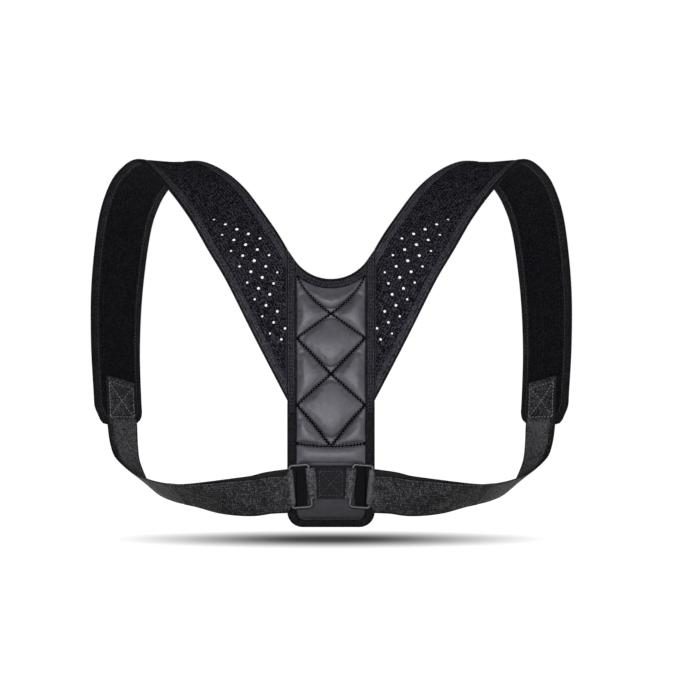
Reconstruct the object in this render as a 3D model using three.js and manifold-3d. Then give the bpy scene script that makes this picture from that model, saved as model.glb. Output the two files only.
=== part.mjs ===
// Posture corrector: a back brace with two arms that go over the shoulders, in its worn shape.
// Millimetres, +Z up. It is seen from behind: +X is right, +Y points to the wearer's chest.
// The origin is on the body side of the back panel, level with the lower end of the arm seams.
import * as THREE from "three";
import { mergeVertices } from "three/addons/utils/BufferGeometryUtils.js";
import Module from "manifold-3d";

const wasm = await Module();
wasm.setup();

const { cos, sin, tan, PI } = Math;
const clamp = THREE.MathUtils.clamp;
const lerp = THREE.MathUtils.lerp;
const degrees = PI / 180;

// Gap between sewn pieces
const clearance = 0.3;

// Back panel
const panelWidth = 91;
const panelThickness = 4;
const neckRise = 127;
const neckSlope = 55 * degrees;
const tabDrop = 131;
const tabCornerRadius = 16;

// Tape folded over the edges
const tapeWidth = 8.5;
const tapeThickness = 0.8;
const tabTapeWidth = 6.5;

// Seam strips between the panel and the arms
const seamStripHeight = 2.3;
const seamLap = 2;

// Quilted pad
const padSeamThickness = 2.6;
const padPuff = 6;
const padSidePuffShare = 0.8;
const padBandPuff = 4.5;
const puffRoundness = 0.6;
const bandRoundness = 0.7;

// Arms
const armWidth = 62.5;
const armRootWidth = 73;
const armTaperLength = 330;
const armSlantLength = 170;
const armThickness = 3;
const armLength = 556;
const lateralCornerWidth = 10;
const lateralCornerLength = 19;
const medialCornerWidth = 6;
const medialCornerLength = 9;

// Reach of the path that the arms and straps follow
const pathSpan = 236;
const pathHeight = 252;
const pathDepth = 122;

// Perforation of the arms
const holeDiameter = 3;
const holeSpacing = 8.2;
const holePitch = 19.3;
const holeStagger = 10.9;
const holeTurn = 3 * degrees;
const holeStart = 137.5;
const holeInset = 18.5;
const holeCounts = [8, 9, 7, 4, 3];

// Webbing
const webbingWidth = 38;
const webbingThickness = 1.6;
const patchLength = 48;
const patchSlant = 16 * degrees;
const patchShift = 2;
const approachLength = 22;
const approachSlope = 8 * degrees;
const barTurnLength = 60;
const foldBackLength = 134;
const foldBackDrop = 7.5;
const foldBackDropLength = 14;
const foldBackCloseLength = 45;
const layerGap = 0.6;

// Rings
const ringWidth = 24;
const ringWire = 3.6;
const ringPlay = 1.15;
const ringCornerRadius = 3;
const ringInset = 2;
const ringDrop = 88;
const ringTilt = 5 * degrees;

// Ring holder
const holderWidth = 32;
const holderThickness = 1.5;
const holderLoopLength = 5.2;
const loopExit = 28 * degrees;

// Numbers of steps
const armSteps = 35;
const holeSides = 6;
const neckSteps = 10;
const tabCornerSteps = 5;
const seamStripSteps = 8;
const padColumns = 12;
const quiltSteps = 6;
const bandSteps = 4;
const tabSteps = 5;
const strapSteps = 42;
const wrapSteps = 6;
const foldBackSteps = 14;
const wireSides = 8;
const ringCornerSteps = 3;
const loopSegments = 8;

// Path of one side, from under the panel over the shoulder, under the arm and back to the ring.
// out, deep and up are shares of pathSpan, pathDepth and pathHeight, deep from the panel's middle.
// turn is how far the outer face has tipped over, in degrees: 0 faces back, 90 up, 180 to the front.
// lean is its tilt outwards.
const pathRows = [
  { name: "under the panel", out: 0.01, deep: 0, up: -0.012, turn: 0, lean: 0 },
  { name: "arm seam", out: 0.194, deep: 0, up: 0.315, turn: 0, lean: 0 },
  { name: "shoulder blade", out: 0.326, deep: 0.007, up: 0.555, turn: 3, lean: 0 },
  { name: "upper back", out: 0.415, deep: 0.061, up: 0.69, turn: 12, lean: -1 },
  { name: "back slope", out: 0.5, deep: 0.164, up: 0.813, turn: 24, lean: -3 },
  { name: "shoulder rise", out: 0.593, deep: 0.292, up: 0.908, turn: 42, lean: -6 },
  { name: "shoulder top", out: 0.695, deep: 0.439, up: 0.979, turn: 68, lean: -4 },
  { name: "shoulder crest", out: 0.776, deep: 0.587, up: 0.998, turn: 100, lean: 4 },
  { name: "collar bone", out: 0.85, deep: 0.749, up: 0.944, turn: 132, lean: 11 },
  { name: "front rise", out: 0.908, deep: 0.862, up: 0.868, turn: 153, lean: 18 },
  { name: "front upper", out: 0.955, deep: 0.941, up: 0.735, turn: 168, lean: 26 },
  { name: "front middle", out: 0.99, deep: 0.99, up: 0.48, turn: 177, lean: 32 },
  { name: "front lower", out: 0.998, deep: 1, up: 0.23, turn: 180, lean: 38 },
  { name: "above the end", out: 0.988, deep: 0.995, up: -0.008, turn: 184, lean: 41 },
  { name: "arm end", out: 0.982, deep: 0.975, up: -0.111, turn: 194, lean: 37 },
  { name: "below the arm", out: 0.967, deep: 0.936, up: -0.21, turn: 216, lean: 39 },
  { name: "side", out: 0.938, deep: 0.862, up: -0.287, turn: 240, lean: 42 },
  { name: "pinch", out: 0.866, deep: 0.675, up: -0.362, turn: 268, lean: 46 },
  { name: "side back", out: 0.77, deep: 0.469, up: -0.396, turn: 282, lean: 44 },
  { name: "lower ribs", out: 0.65, deep: 0.272, up: -0.409, turn: 298, lean: 34 },
  { name: "ribs", out: 0.508, deep: 0.1, up: -0.404, turn: 328, lean: 22 },
  { name: "beside the spine", out: 0.36, deep: -0.025, up: -0.386, turn: 353, lean: 16 },
];

// Diamond quilting: how far down each level lies, as a share of the panel's length, and how far out
// the stitched lines are there, as a share of the pad's half width
const quiltRows = [
  { name: "neck edge", down: 0, line: 1 },
  { name: "first crossing", down: 0.14, line: 0 },
  { name: "first side points", down: 0.238, line: 1 },
  { name: "second crossing", down: 0.383, line: 0 },
  { name: "second side points", down: 0.507, line: 1 },
  { name: "third crossing", down: 0.661, line: 0 },
];

// Bodies and booleans

const weldDistance = 1e-4;

function solidOf(geometry) {
  const bare = geometry.clone();
  bare.deleteAttribute("normal");
  bare.deleteAttribute("uv");
  const merged = mergeVertices(bare, weldDistance);
  const mesh = new wasm.Mesh({
    numProp: 3,
    vertProperties: merged.attributes.position.array,
    triVerts: new Uint32Array(merged.index.array),
  });
  return new wasm.Manifold(mesh);
}

function geometryOf(solid) {
  const mesh = solid.getMesh();
  const geometry = new THREE.BufferGeometry();
  geometry.setAttribute("position", new THREE.BufferAttribute(mesh.vertProperties, 3));
  geometry.setIndex(new THREE.BufferAttribute(mesh.triVerts, 1));
  return geometry;
}

// A closed body from its points and triangles, with its faces turned outwards
function closedBody(points, triangles) {
  let volume = 0;
  for (const [a, b, c] of triangles) {
    volume += points[a].dot(points[b].clone().cross(points[c]));
  }
  const facing = volume < 0 ? triangles.map(([a, b, c]) => [a, c, b]) : triangles;
  const geometry = new THREE.BufferGeometry().setFromPoints(points);
  geometry.setIndex(facing.flat());
  return geometry;
}

// A body through rows of points, each row a copy of one section outline; a ring closes on itself
function loft(rows, outline, isRing = false) {
  const count = outline.length;
  const triangles = [];
  const steps = isRing ? rows.length : rows.length - 1;
  for (let i = 0; i < steps; i++) {
    const here = i * count;
    const there = ((i + 1) % rows.length) * count;
    for (let j = 0; j < count; j++) {
      const k = (j + 1) % count;
      triangles.push([here + j, there + j, there + k]);
      triangles.push([here + j, there + k, here + k]);
    }
  }
  if (!isRing) {
    const contour = outline.map(([a, b]) => new THREE.Vector2(a, b));
    const last = (rows.length - 1) * count;
    const isClockwise = THREE.ShapeUtils.isClockWise(contour);
    for (const [a, b, c] of THREE.ShapeUtils.triangulateShape(contour, [])) {
      const [p, q, r] = isClockwise ? [a, c, b] : [a, b, c];
      triangles.push([p, q, r]);
      triangles.push([last + p, last + r, last + q]);
    }
  }
  return closedBody(rows.flat(), triangles);
}

function fade(value) {
  return THREE.MathUtils.smoothstep(value, 0, 1);
}

// The path of the right side

const tapeReach = clearance + tapeThickness;
const panelCore = panelWidth / 2 - tapeReach;
const seamX = panelCore + clearance;
const strapOffset = armThickness / 2 + tapeReach + clearance + webbingThickness / 2;
const wrapRadius = ringWire / 2 + clearance + webbingThickness / 2;
const padSeamY = -(panelThickness + clearance + padSeamThickness);
const ringHeight = webbingWidth + 2 * (ringPlay + ringWire);
const ringX = panelWidth / 2 - ringInset - ringWidth / 2;
const ringY = padSeamY - clearance - holderThickness - clearance - ringWire / 2;
const barReach = ((ringWidth - ringWire) / 2) * cos(ringTilt);
const barDrop = ((ringWidth - ringWire) / 2) * sin(ringTilt);
const outerBar = new THREE.Vector3(ringX + barReach, ringY, -ringDrop - barDrop);
const innerBar = new THREE.Vector3(ringX - barReach, ringY, -ringDrop + barDrop);

const pathPoints = pathRows.map(({ out, deep, up }) => {
  const y = deep * pathDepth - panelThickness / 2;
  return new THREE.Vector3(out * pathSpan, y, up * pathHeight);
});
const pathTurns = pathRows.map(({ turn, lean }) => new THREE.Vector3(turn, lean, 0));
const curveTension = 0.5;
const lengthDivisions = 800;
// The last stretch lies flat against the panel, and rises to the ring
const approachY = ringY + wrapRadius - strapOffset;
const approachZ = outerBar.z - approachLength * tan(approachSlope);
pathPoints.push(new THREE.Vector3(outerBar.x + approachLength, approachY, approachZ));
pathPoints.push(new THREE.Vector3(outerBar.x, approachY, outerBar.z));
pathTurns.push(new THREE.Vector3(360, 0, 0), new THREE.Vector3(360, 0, 0));

const pathCurve = new THREE.CatmullRomCurve3(pathPoints, false, "catmullrom", curveTension);
pathCurve.arcLengthDivisions = lengthDivisions;
const turnCurve = new THREE.CatmullRomCurve3(pathTurns, false, "catmullrom", curveTension);
const pathLength = pathCurve.getLength();

// Centre, directions along and across (towards the neck) and outward direction at a distance
function frameAt(distance) {
  const t = pathCurve.getUtoTmapping(0, distance);
  const turn = turnCurve.getPoint(t);
  const tip = turn.x * degrees;
  const lean = turn.y * degrees;
  const along = pathCurve.getTangent(t);
  const facing = new THREE.Vector3(sin(lean), -cos(lean) * cos(tip), cos(lean) * sin(tip));
  const across = facing.cross(along).normalize();
  const outward = along.clone().cross(across).normalize();
  return { centre: pathCurve.getPoint(t), along, across, outward };
}

function onFrame(frame, a, b) {
  return frame.centre.clone().addScaledVector(frame.across, a).addScaledVector(frame.outward, b);
}

function onSide(point, side) {
  return new THREE.Vector3(point.x * side, point.y, point.z);
}

// Distance along the path at which the line that lies a across meets the seam with the panel
function seamDistance(a) {
  const halvings = 40;
  let low = 0;
  let high = pathLength / 3;
  for (let i = 0; i < halvings; i++) {
    const middle = (low + high) / 2;
    if (onFrame(frameAt(middle), a, 0).x < seamX) low = middle;
    else high = middle;
  }
  return low;
}

// Arms

const seamCentre = seamDistance(0);

function armHalfWidth(distance) {
  const taper = fade(distance / armTaperLength);
  return lerp(armRootWidth, armWidth, taper) / 2 - tapeReach;
}

// Core edges of the arm at a distance from the seam; both corners of the end are cut off
function armEdges(distance) {
  const lateralCut = clamp(1 - (armLength - distance) / lateralCornerLength, 0, 1);
  const medialCut = clamp(1 - (armLength - distance) / medialCornerLength, 0, 1);
  const half = armHalfWidth(distance);
  return [-half + lateralCornerWidth * lateralCut, half - medialCornerWidth * medialCut];
}

// The sections lie along the seam at the root and turn square to the path further up
function armDistance(distance, a) {
  return distance + lerp(seamDistance(a), seamCentre, fade(distance / armSlantLength));
}

function onArm(distance, a, b) {
  return onFrame(frameAt(distance), a, b);
}

// Distances of the sections from the seam
const armStations = [];
for (let i = 0; i <= armSteps; i++) {
  armStations.push(((armLength - lateralCornerLength) * i) / armSteps);
}
armStations.push(armLength - medialCornerLength, armLength);

function armGeometry(side) {
  const half = armThickness / 2;
  const columns = [0, 1, 2, 3, 4];
  const outline = [...columns.map((n) => [n, half]), ...columns.map((n) => [n, -half]).reverse()];
  const rows = armStations.map((station) => {
    const [lateral, medial] = armEdges(station);
    const middle = (lateral + medial) / 2;
    const across = [lateral, lateral + tapeWidth, middle, medial - tapeWidth, medial];
    return outline.map(([column, b]) => {
      const a = across[column];
      return onSide(onArm(armDistance(station, a), a, b), side);
    });
  });
  return loft(rows, outline);
}

// Punched holes, in lines that run beside the outer edge of the arm
function holeGeometries(side) {
  const holes = [];
  holeCounts.forEach((count, line) => {
    for (let i = 0; i < count; i++) {
      const back = i * holePitch + line * holeStagger;
      const distance = seamCentre + holeStart - back;
      const a = -armWidth / 2 + holeInset + line * holeSpacing - back * tan(holeTurn);
      const from = onSide(onArm(distance, a, armThickness), side);
      const to = onSide(onArm(distance, a, -armThickness), side);
      const radius = holeDiameter / 2;
      const hole = new THREE.CylinderGeometry(radius, radius, from.distanceTo(to), holeSides);
      const up = new THREE.Vector3(0, 1, 0);
      const direction = to.clone().sub(from).normalize();
      hole.applyQuaternion(new THREE.Quaternion().setFromUnitVectors(up, direction));
      hole.translate(...from.lerp(to, 0.5).toArray());
      holes.push(hole);
    }
  });
  return holes;
}

function perforated(geometry, holes) {
  const cut = holes.reduce((solid, hole) => solid.subtract(solidOf(hole)), solidOf(geometry));
  return geometryOf(cut);
}

// Tape folded over an edge. Each point of the edge has its place in the plane of the piece, the
// direction inwards and the tape's width there; place() puts a point of that plane in space.
function tapeGeometry(edge, coreThickness, place) {
  const inner = coreThickness / 2 + clearance;
  const outer = inner + tapeThickness;
  const outline = [
    [-tapeReach, -outer], [1, -outer], [1, -inner], [-clearance, -inner],
    [-clearance, inner], [1, inner], [1, outer], [-tapeReach, outer],
  ];
  const rows = edge.map(({ at, inward, width }) =>
    outline.map(([w, height]) => {
      const reach = w > 0 ? w * width : w;
      return place(at[0] + inward[0] * reach, at[1] + inward[1] * reach, height);
    }),
  );
  return loft(rows, outline);
}

// Inward directions at the points of an edge whose inner side is on the left
function inwardDirections(points, first, last) {
  const normals = points.slice(1).map((point, i) => {
    const x = point[0] - points[i][0];
    const y = point[1] - points[i][1];
    const length = Math.hypot(x, y);
    return [-y / length, x / length];
  });
  const middle = normals.slice(1).map((normal, i) => {
    const before = normals[i];
    const size = 1 + before[0] * normal[0] + before[1] * normal[1];
    return [(before[0] + normal[0]) / size, (before[1] + normal[1]) / size];
  });
  return [first, ...middle, last];
}

// Direction along a section of the arm, for each step of 1 mm across
function alongSection(station, a, sign) {
  const slope = (armDistance(station, a + sign * tapeWidth) - armDistance(station, a)) / tapeWidth;
  return [slope, sign];
}

function armTapeGeometry(side) {
  const lateral = armStations.map((station) => ({ station, a: armEdges(station)[0], sign: 1 }));
  const medial = armStations.map((station) => ({ station, a: armEdges(station)[1], sign: -1 }));
  const around = [...lateral, ...medial.reverse()];
  const points = around.map(({ station, a }) => [armDistance(station, a), a]);
  const mitres = inwardDirections(points, [0, 1], [0, -1]);
  const cornerStart = armLength - lateralCornerLength;
  const edge = around.map(({ station, a, sign }, i) => ({
    at: points[i],
    inward: station < cornerStart ? alongSection(station, a, sign) : mitres[i],
    width: tapeWidth,
  }));
  return tapeGeometry(edge, armThickness, (p, q, height) => onSide(onArm(p, q, height), side));
}

// Back panel. Its neck curve is an arc that runs out into the neck edges of the arms.

const rootEdges = armEdges(0);
const seamTop = onArm(seamDistance(rootEdges[1] + tapeReach), rootEdges[1] + tapeReach, 0).z;
const seamBottom = onArm(seamDistance(rootEdges[0] - tapeReach), rootEdges[0] - tapeReach, 0).z;
const neckClimb = (seamTop - neckRise) * cos(neckSlope);
const neckRadius = (seamX * sin(neckSlope) - neckClimb) / (1 - cos(neckSlope));

// Height of the neck curve at x, moved into the panel by inset
function neckHeight(x, inset) {
  const radius = neckRadius + inset;
  const arcEnd = radius * sin(neckSlope);
  const reach = Math.min(Math.abs(x), arcEnd);
  const arc = neckRise + neckRadius - Math.sqrt(radius * radius - reach * reach);
  return arc + (Math.abs(x) - reach) * tan(neckSlope);
}

// Half of the tab's outline from the seam down, moved into the panel by inset
function tabHalfOutline(inset, top) {
  const points = [[panelWidth / 2 - inset, top]];
  const radius = tabCornerRadius - inset;
  for (let i = 0; i <= tabCornerSteps; i++) {
    const angle = (i / tabCornerSteps) * (PI / 2);
    points.push([
      panelWidth / 2 - tabCornerRadius + radius * cos(angle),
      tabCornerRadius - tabDrop - radius * sin(angle),
    ]);
  }
  return points;
}

function panelGeometry() {
  const half = tabHalfOutline(tapeReach, 0);
  const neck = [];
  for (let i = -neckSteps; i <= neckSteps; i++) {
    const x = (panelCore * i) / neckSteps;
    neck.push([x, neckHeight(x, tapeReach)]);
  }
  const left = half.map(([x, z]) => [-x, z]).reverse();
  const outline = [...neck, ...half, ...left].map(([x, z]) => new THREE.Vector2(x, z));
  const geometry = new THREE.ExtrudeGeometry(new THREE.Shape(outline), {
    depth: panelThickness,
    bevelEnabled: false,
  });
  return geometry.rotateX(PI / 2);
}

function onPanel(x, z, height) {
  return new THREE.Vector3(x, -panelThickness / 2 - height, z);
}

function neckTapeGeometry() {
  const edge = [];
  for (let i = neckSteps; i >= -neckSteps; i--) {
    const x = (panelCore * i) / neckSteps;
    const z = neckHeight(x, tapeReach);
    const down = (neckHeight(x, tapeReach + tapeWidth) - z) / tapeWidth;
    edge.push({ at: [x, z], inward: [0, down], width: tapeWidth });
  }
  return tapeGeometry(edge, panelThickness, onPanel);
}

function tabTapeGeometry() {
  const half = tabHalfOutline(tapeReach, seamBottom - clearance);
  const left = half.map(([x, z]) => [-x, z]);
  const points = [...left, ...half.reverse()];
  const inward = inwardDirections(points, [1, 0], [-1, 0]);
  const edge = points.map((at, i) => {
    const turned = Math.abs(inward[i][1]);
    return { at, inward: inward[i], width: lerp(tapeWidth, tabTapeWidth, clamp(turned, 0, 1)) };
  });
  return tapeGeometry(edge, panelThickness, onPanel);
}

// Seam strip: thick over the panel, with a thin lap over the arm and its folded tape
function seamStripGeometry(side) {
  const inner = panelCore - tapeWidth;
  const base = panelThickness + clearance;
  const top = base + seamStripHeight;
  const lap = panelThickness + tapeReach + clearance;
  const lapEnd = seamX + seamLap;
  const outline = [
    [inner, base], [panelCore, base], [panelCore, lap], [lapEnd, lap], [lapEnd, top], [inner, top],
  ];
  const rows = [];
  for (let i = 0; i <= seamStripSteps; i++) {
    const row = outline.map(([x, depth]) => {
      const reach = neckHeight(x, tapeReach + tapeWidth + 2 * clearance);
      const z = lerp(seamBottom, reach, i / seamStripSteps);
      return onSide(new THREE.Vector3(x, -depth, z), side);
    });
    rows.push(row);
  }
  return loft(rows, outline);
}

// Quilted pad

const padHalf = panelCore - tapeWidth - clearance;
const padBack = -(panelThickness + clearance);
const panelLength = neckRise + tabDrop;
const padBandBottom = ringHeight / 2 + clearance - ringDrop;
const padEdge = tapeReach + tabTapeWidth + clearance;
const padBottom = padEdge - tabDrop;
const padCornerRadius = tabCornerRadius - padEdge;

// Puff of the quilting over its seams at u, a share of the half width: round in the diamonds and
// between them and the sides, and falling off at the neck edge and at the last seam
function quiltPuff(u, line, step, isFirst, isLast) {
  const out = Math.abs(u);
  const inDiamond = Math.max(line * line - u * u, 0) ** puffRoundness;
  const inSide = Math.max(4 * (out - line) * (1 - out), 0) ** puffRoundness;
  const neckEdge = isFirst ? fade(step * quiltSteps) : 1;
  const lastSeam = isLast ? fade((1 - step) * quiltSteps) : 1;
  return padPuff * (inDiamond + padSidePuffShare * inSide) * neckEdge * lastSeam;
}

// Levels of the pad from the neck to the tab: height down the panel and thickness over the seams
function padLevels() {
  const levels = [];
  quiltRows.slice(1).forEach((row, i) => {
    const before = quiltRows[i];
    const isFirst = i === 0;
    const isLast = i === quiltRows.length - 2;
    for (let n = isFirst ? 0 : 1; n <= quiltSteps; n++) {
      const step = n / quiltSteps;
      const line = lerp(before.line, row.line, step);
      levels.push({
        down: lerp(before.down, row.down, step),
        neck: isFirst ? 1 - step : 0,
        puff: (u) => quiltPuff(u, line, step, isFirst, isLast),
      });
    }
  });
  const lastSeam = quiltRows[quiltRows.length - 1].down;
  const bandEnd = (neckRise - padBandBottom) / panelLength;
  for (let n = 1; n <= bandSteps; n++) {
    const step = n / bandSteps;
    const bulge = padBandPuff * Math.max(sin(PI * step), 0) ** bandRoundness;
    levels.push({
      down: lerp(lastSeam, bandEnd, step),
      neck: 0,
      puff: (u) => bulge * (1 - u ** 4),
    });
  }
  const end = (neckRise - padBottom) / panelLength;
  for (let n = 1; n <= tabSteps; n++) {
    const step = sin((PI / 2) * (n / tabSteps));
    levels.push({ down: lerp(bandEnd, end, step), neck: 0, puff: () => 0 });
  }
  return levels;
}

function padHalfWidth(z) {
  const rise = clamp(z - padBottom, 0, padCornerRadius);
  const fall = padCornerRadius - rise;
  return padHalf - padCornerRadius + Math.sqrt(padCornerRadius ** 2 - fall ** 2);
}

function padGeometry() {
  const levels = padLevels();
  const front = [];
  for (const level of levels) {
    for (let j = 0; j <= padColumns; j++) {
      const u = (2 * j) / padColumns - 1;
      const flat = neckRise - level.down * panelLength;
      const x = u * padHalfWidth(flat);
      const neckLift = neckHeight(x, tapeReach + tapeWidth + clearance) - neckRise;
      const z = flat + neckLift * level.neck;
      front.push(new THREE.Vector3(x, padSeamY - level.puff(u), z));
    }
  }
  const count = padColumns + 1;
  const rows = levels.length;
  const triangles = [];
  for (let i = 0; i < rows - 1; i++) {
    for (let j = 0; j < padColumns; j++) {
      const here = i * count + j;
      const corners = [here, here + 1, here + count + 1, here + count];
      const onLeft = j < padColumns / 2;
      const isOutgoing = Math.floor(i / quiltSteps) % 2 === 1;
      const start = onLeft === isOutgoing ? 1 : 0;
      const [p, q, r, s] = [0, 1, 2, 3].map((n) => corners[(n + start) % 4]);
      triangles.push([p, q, r], [p, r, s]);
    }
  }
  const rim = [];
  for (let j = 0; j < padColumns; j++) rim.push(j);
  for (let i = 0; i < rows - 1; i++) rim.push(i * count + padColumns);
  for (let j = padColumns; j > 0; j--) rim.push((rows - 1) * count + j);
  for (let i = rows - 1; i > 0; i--) rim.push(i * count);
  const back = rim.map((n) => new THREE.Vector3(front[n].x, padBack, front[n].z));
  rim.forEach((here, n) => {
    const next = (n + 1) % rim.length;
    triangles.push([rim[next], here, front.length + n]);
    triangles.push([rim[next], front.length + n, front.length + next]);
  });
  const contour = back.map(({ x, z }) => new THREE.Vector2(x, z));
  for (const [p, q, r] of THREE.ShapeUtils.triangulateShape(contour, [])) {
    triangles.push([p, q, r].map((n) => front.length + n));
  }
  return closedBody([...front, ...back], triangles);
}

// Ring: a round wire bent to a rectangle, in its own plane

function ringGeometry() {
  const outline = [];
  for (let i = 0; i < wireSides; i++) {
    const angle = (2 * PI * (i + 0.5)) / wireSides;
    outline.push([(ringWire / 2) * cos(angle), (ringWire / 2) * sin(angle)]);
  }
  const halfWidth = (ringWidth - ringWire) / 2 - ringCornerRadius;
  const halfHeight = (ringHeight - ringWire) / 2 - ringCornerRadius;
  const rows = [];
  [[1, 1], [-1, 1], [-1, -1], [1, -1]].forEach(([sx, sz], corner) => {
    for (let n = 0; n <= ringCornerSteps; n++) {
      const angle = (corner + n / ringCornerSteps) * (PI / 2);
      const row = outline.map(([out, depth]) => {
        const radius = ringCornerRadius + out;
        const x = sx * halfWidth + radius * cos(angle);
        const z = sz * halfHeight + radius * sin(angle);
        return new THREE.Vector3(x, depth, z);
      });
      rows.push(row);
    }
  });
  return loft(rows, outline, true);
}

// Webbing strap: from the patch on the arm's end to the ring, round its outer bar and back

const strapStart = seamCentre + armLength - patchLength;
const barAxis = new THREE.Vector3(-sin(ringTilt), 0, -cos(ringTilt));
const ringFrame = frameAt(pathLength);
const barSlope = barAxis.dot(ringFrame.along) / barAxis.dot(ringFrame.across);

// Frame of the webbing. Its sections are slanted at the patch and parallel to the bar at the ring.
function strapFrame(distance) {
  const frame = frameAt(distance);
  const patch = 1 - fade((distance - strapStart) / patchLength);
  const ring = 1 - fade((pathLength - distance) / barTurnLength);
  const slope = tan(patchSlant) * patch + barSlope * ring;
  const shift = patchShift * (1 - fade((distance - strapStart - patchLength) / patchLength));
  const centre = frame.centre.clone().addScaledVector(frame.across, shift);
  const across = frame.across.clone().addScaledVector(frame.along, slope);
  return { centre, across, outward: frame.outward };
}

function strapGeometry(side) {
  const half = webbingWidth / 2;
  const thick = webbingThickness / 2;
  const outline = [
    [-half, -thick], [0, -thick], [half, -thick], [half, thick], [0, thick], [-half, thick],
  ];
  const frames = [];
  for (let i = 0; i < strapSteps; i++) {
    const frame = strapFrame(lerp(strapStart, pathLength, i / strapSteps));
    frame.centre.addScaledVector(frame.outward, -strapOffset);
    frames.push(frame);
  }
  const turn = strapFrame(pathLength);
  const bar = turn.centre.clone().addScaledVector(turn.outward, wrapRadius - strapOffset);
  const towards = turn.across.clone().cross(turn.outward).normalize();
  for (let i = 0; i <= wrapSteps; i++) {
    const angle = (PI * i) / wrapSteps;
    const outward = turn.outward.clone().multiplyScalar(cos(angle));
    outward.addScaledVector(towards, -sin(angle));
    const centre = bar.clone().addScaledVector(outward, -wrapRadius);
    frames.push({ centre, across: turn.across, outward });
  }
  for (let i = 1; i <= foldBackSteps; i++) {
    const back = (foldBackLength * i) / foldBackSteps;
    const frame = strapFrame(pathLength - back);
    const closing = fade(back / foldBackCloseLength);
    const apart = lerp(2 * wrapRadius, webbingThickness + layerGap, closing);
    frame.centre.addScaledVector(frame.outward, apart - strapOffset);
    const lineUp = 1 - back / foldBackLength;
    const drop = foldBackDrop * fade(back / foldBackDropLength) * lineUp ** 1.5;
    frame.centre.addScaledVector(frame.across, drop);
    frame.outward.negate();
    frames.push(frame);
  }
  const rows = frames.map((frame) =>
    outline.map(([a, b]) => onSide(onFrame(frame, a, b), side)),
  );
  return loft(rows, outline);
}

// Ring holder: webbing sewn flat in the middle, with a loop round each ring's inner bar

function holderGeometry() {
  const holeRadius = ringWire / 2 + clearance;
  const loopRadius = holeRadius + holderThickness;
  const back = innerBar.y + loopRadius;
  const front = back - 2 * holderThickness - clearance;
  const patchEnd = innerBar.x - loopRadius - holderLoopLength;
  const shape = new THREE.Shape();
  shape.moveTo(-innerBar.x, back);
  shape.absarc(-innerBar.x, innerBar.y, loopRadius, PI / 2, (3 * PI) / 2 + loopExit, false);
  shape.lineTo(-patchEnd, front);
  shape.lineTo(patchEnd, front);
  shape.absarc(innerBar.x, innerBar.y, loopRadius, -PI / 2 - loopExit, PI / 2, false);
  shape.closePath();
  for (const sign of [-1, 1]) {
    const hole = new THREE.Path();
    hole.absarc(sign * innerBar.x, innerBar.y, holeRadius, 0, 2 * PI, true);
    shape.holes.push(hole);
  }
  const geometry = new THREE.ExtrudeGeometry(shape, {
    depth: holderWidth,
    bevelEnabled: false,
    curveSegments: loopSegments,
  });
  // Its upper edge is level with the webbing's
  geometry.translate(0, 0, webbingWidth / 2 - ringDrop - holderWidth);
  const position = geometry.attributes.position;
  for (let i = 0; i < position.count; i++) {
    const x = position.getX(i);
    const lean = (position.getZ(i) - innerBar.z) * tan(ringTilt);
    position.setX(i, x + (lean * x) / innerBar.x);
  }
  return geometry;
}

// Materials

const mesh = new THREE.MeshStandardMaterial({ color: 0x17171b, roughness: 0.95, metalness: 0 });
const tape = new THREE.MeshStandardMaterial({ color: 0x1e1e22, roughness: 0.85, metalness: 0 });
const leatherette = new THREE.MeshStandardMaterial({ color: 0x35353a, roughness: 0.5, metalness: 0 });
const webbing = new THREE.MeshStandardMaterial({ color: 0x222226, roughness: 0.8, metalness: 0 });
const gloss = new THREE.MeshStandardMaterial({ color: 0x0c0c0e, roughness: 0.15, metalness: 0 });

// Assembly

const group = new THREE.Group();

function add(name, geometry, material) {
  const piece = new THREE.Mesh(geometry, material);
  piece.name = name;
  group.add(piece);
  return piece;
}

add("back_panel", panelGeometry(), mesh);
add("quilted_pad", padGeometry(), leatherette);
add("neck_binding", neckTapeGeometry(), tape);
add("tab_binding", tabTapeGeometry(), tape);
add("ring_holder", holderGeometry(), webbing);

for (const [label, side] of [["left", -1], ["right", 1]]) {
  add(`${label}_seam_strip`, seamStripGeometry(side), tape);
  add(`${label}_arm`, perforated(armGeometry(side), holeGeometries(side)), mesh);
  add(`${label}_arm_binding`, armTapeGeometry(side), tape);
  add(`${label}_strap`, strapGeometry(side), webbing);
  const ring = add(`${label}_ring`, ringGeometry(), gloss);
  ring.position.set(side * ringX, ringY, -ringDrop);
  ring.rotation.y = side * ringTilt;
}

export default group;
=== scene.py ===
# Posture corrector: a back brace in its worn shape, seen from behind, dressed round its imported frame.
# Lengths are in millimetres until a mesh is made from them.
from collections import namedtuple
from math import cos, pi, radians, sin, tan

import bpy
import numpy as np
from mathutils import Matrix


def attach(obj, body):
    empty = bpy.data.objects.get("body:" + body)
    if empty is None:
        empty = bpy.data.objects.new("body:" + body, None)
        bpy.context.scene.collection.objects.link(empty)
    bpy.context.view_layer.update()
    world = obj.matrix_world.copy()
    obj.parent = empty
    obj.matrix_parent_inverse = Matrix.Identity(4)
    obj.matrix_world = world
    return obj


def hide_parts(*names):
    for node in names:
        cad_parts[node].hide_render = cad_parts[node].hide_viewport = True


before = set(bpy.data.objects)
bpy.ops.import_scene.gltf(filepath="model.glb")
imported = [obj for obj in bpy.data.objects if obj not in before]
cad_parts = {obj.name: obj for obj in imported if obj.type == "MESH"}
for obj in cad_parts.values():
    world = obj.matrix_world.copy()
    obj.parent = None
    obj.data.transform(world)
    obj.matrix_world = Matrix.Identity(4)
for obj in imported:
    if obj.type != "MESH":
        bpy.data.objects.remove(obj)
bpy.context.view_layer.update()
bpy.ops.object.select_all(action="DESELECT")

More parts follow.
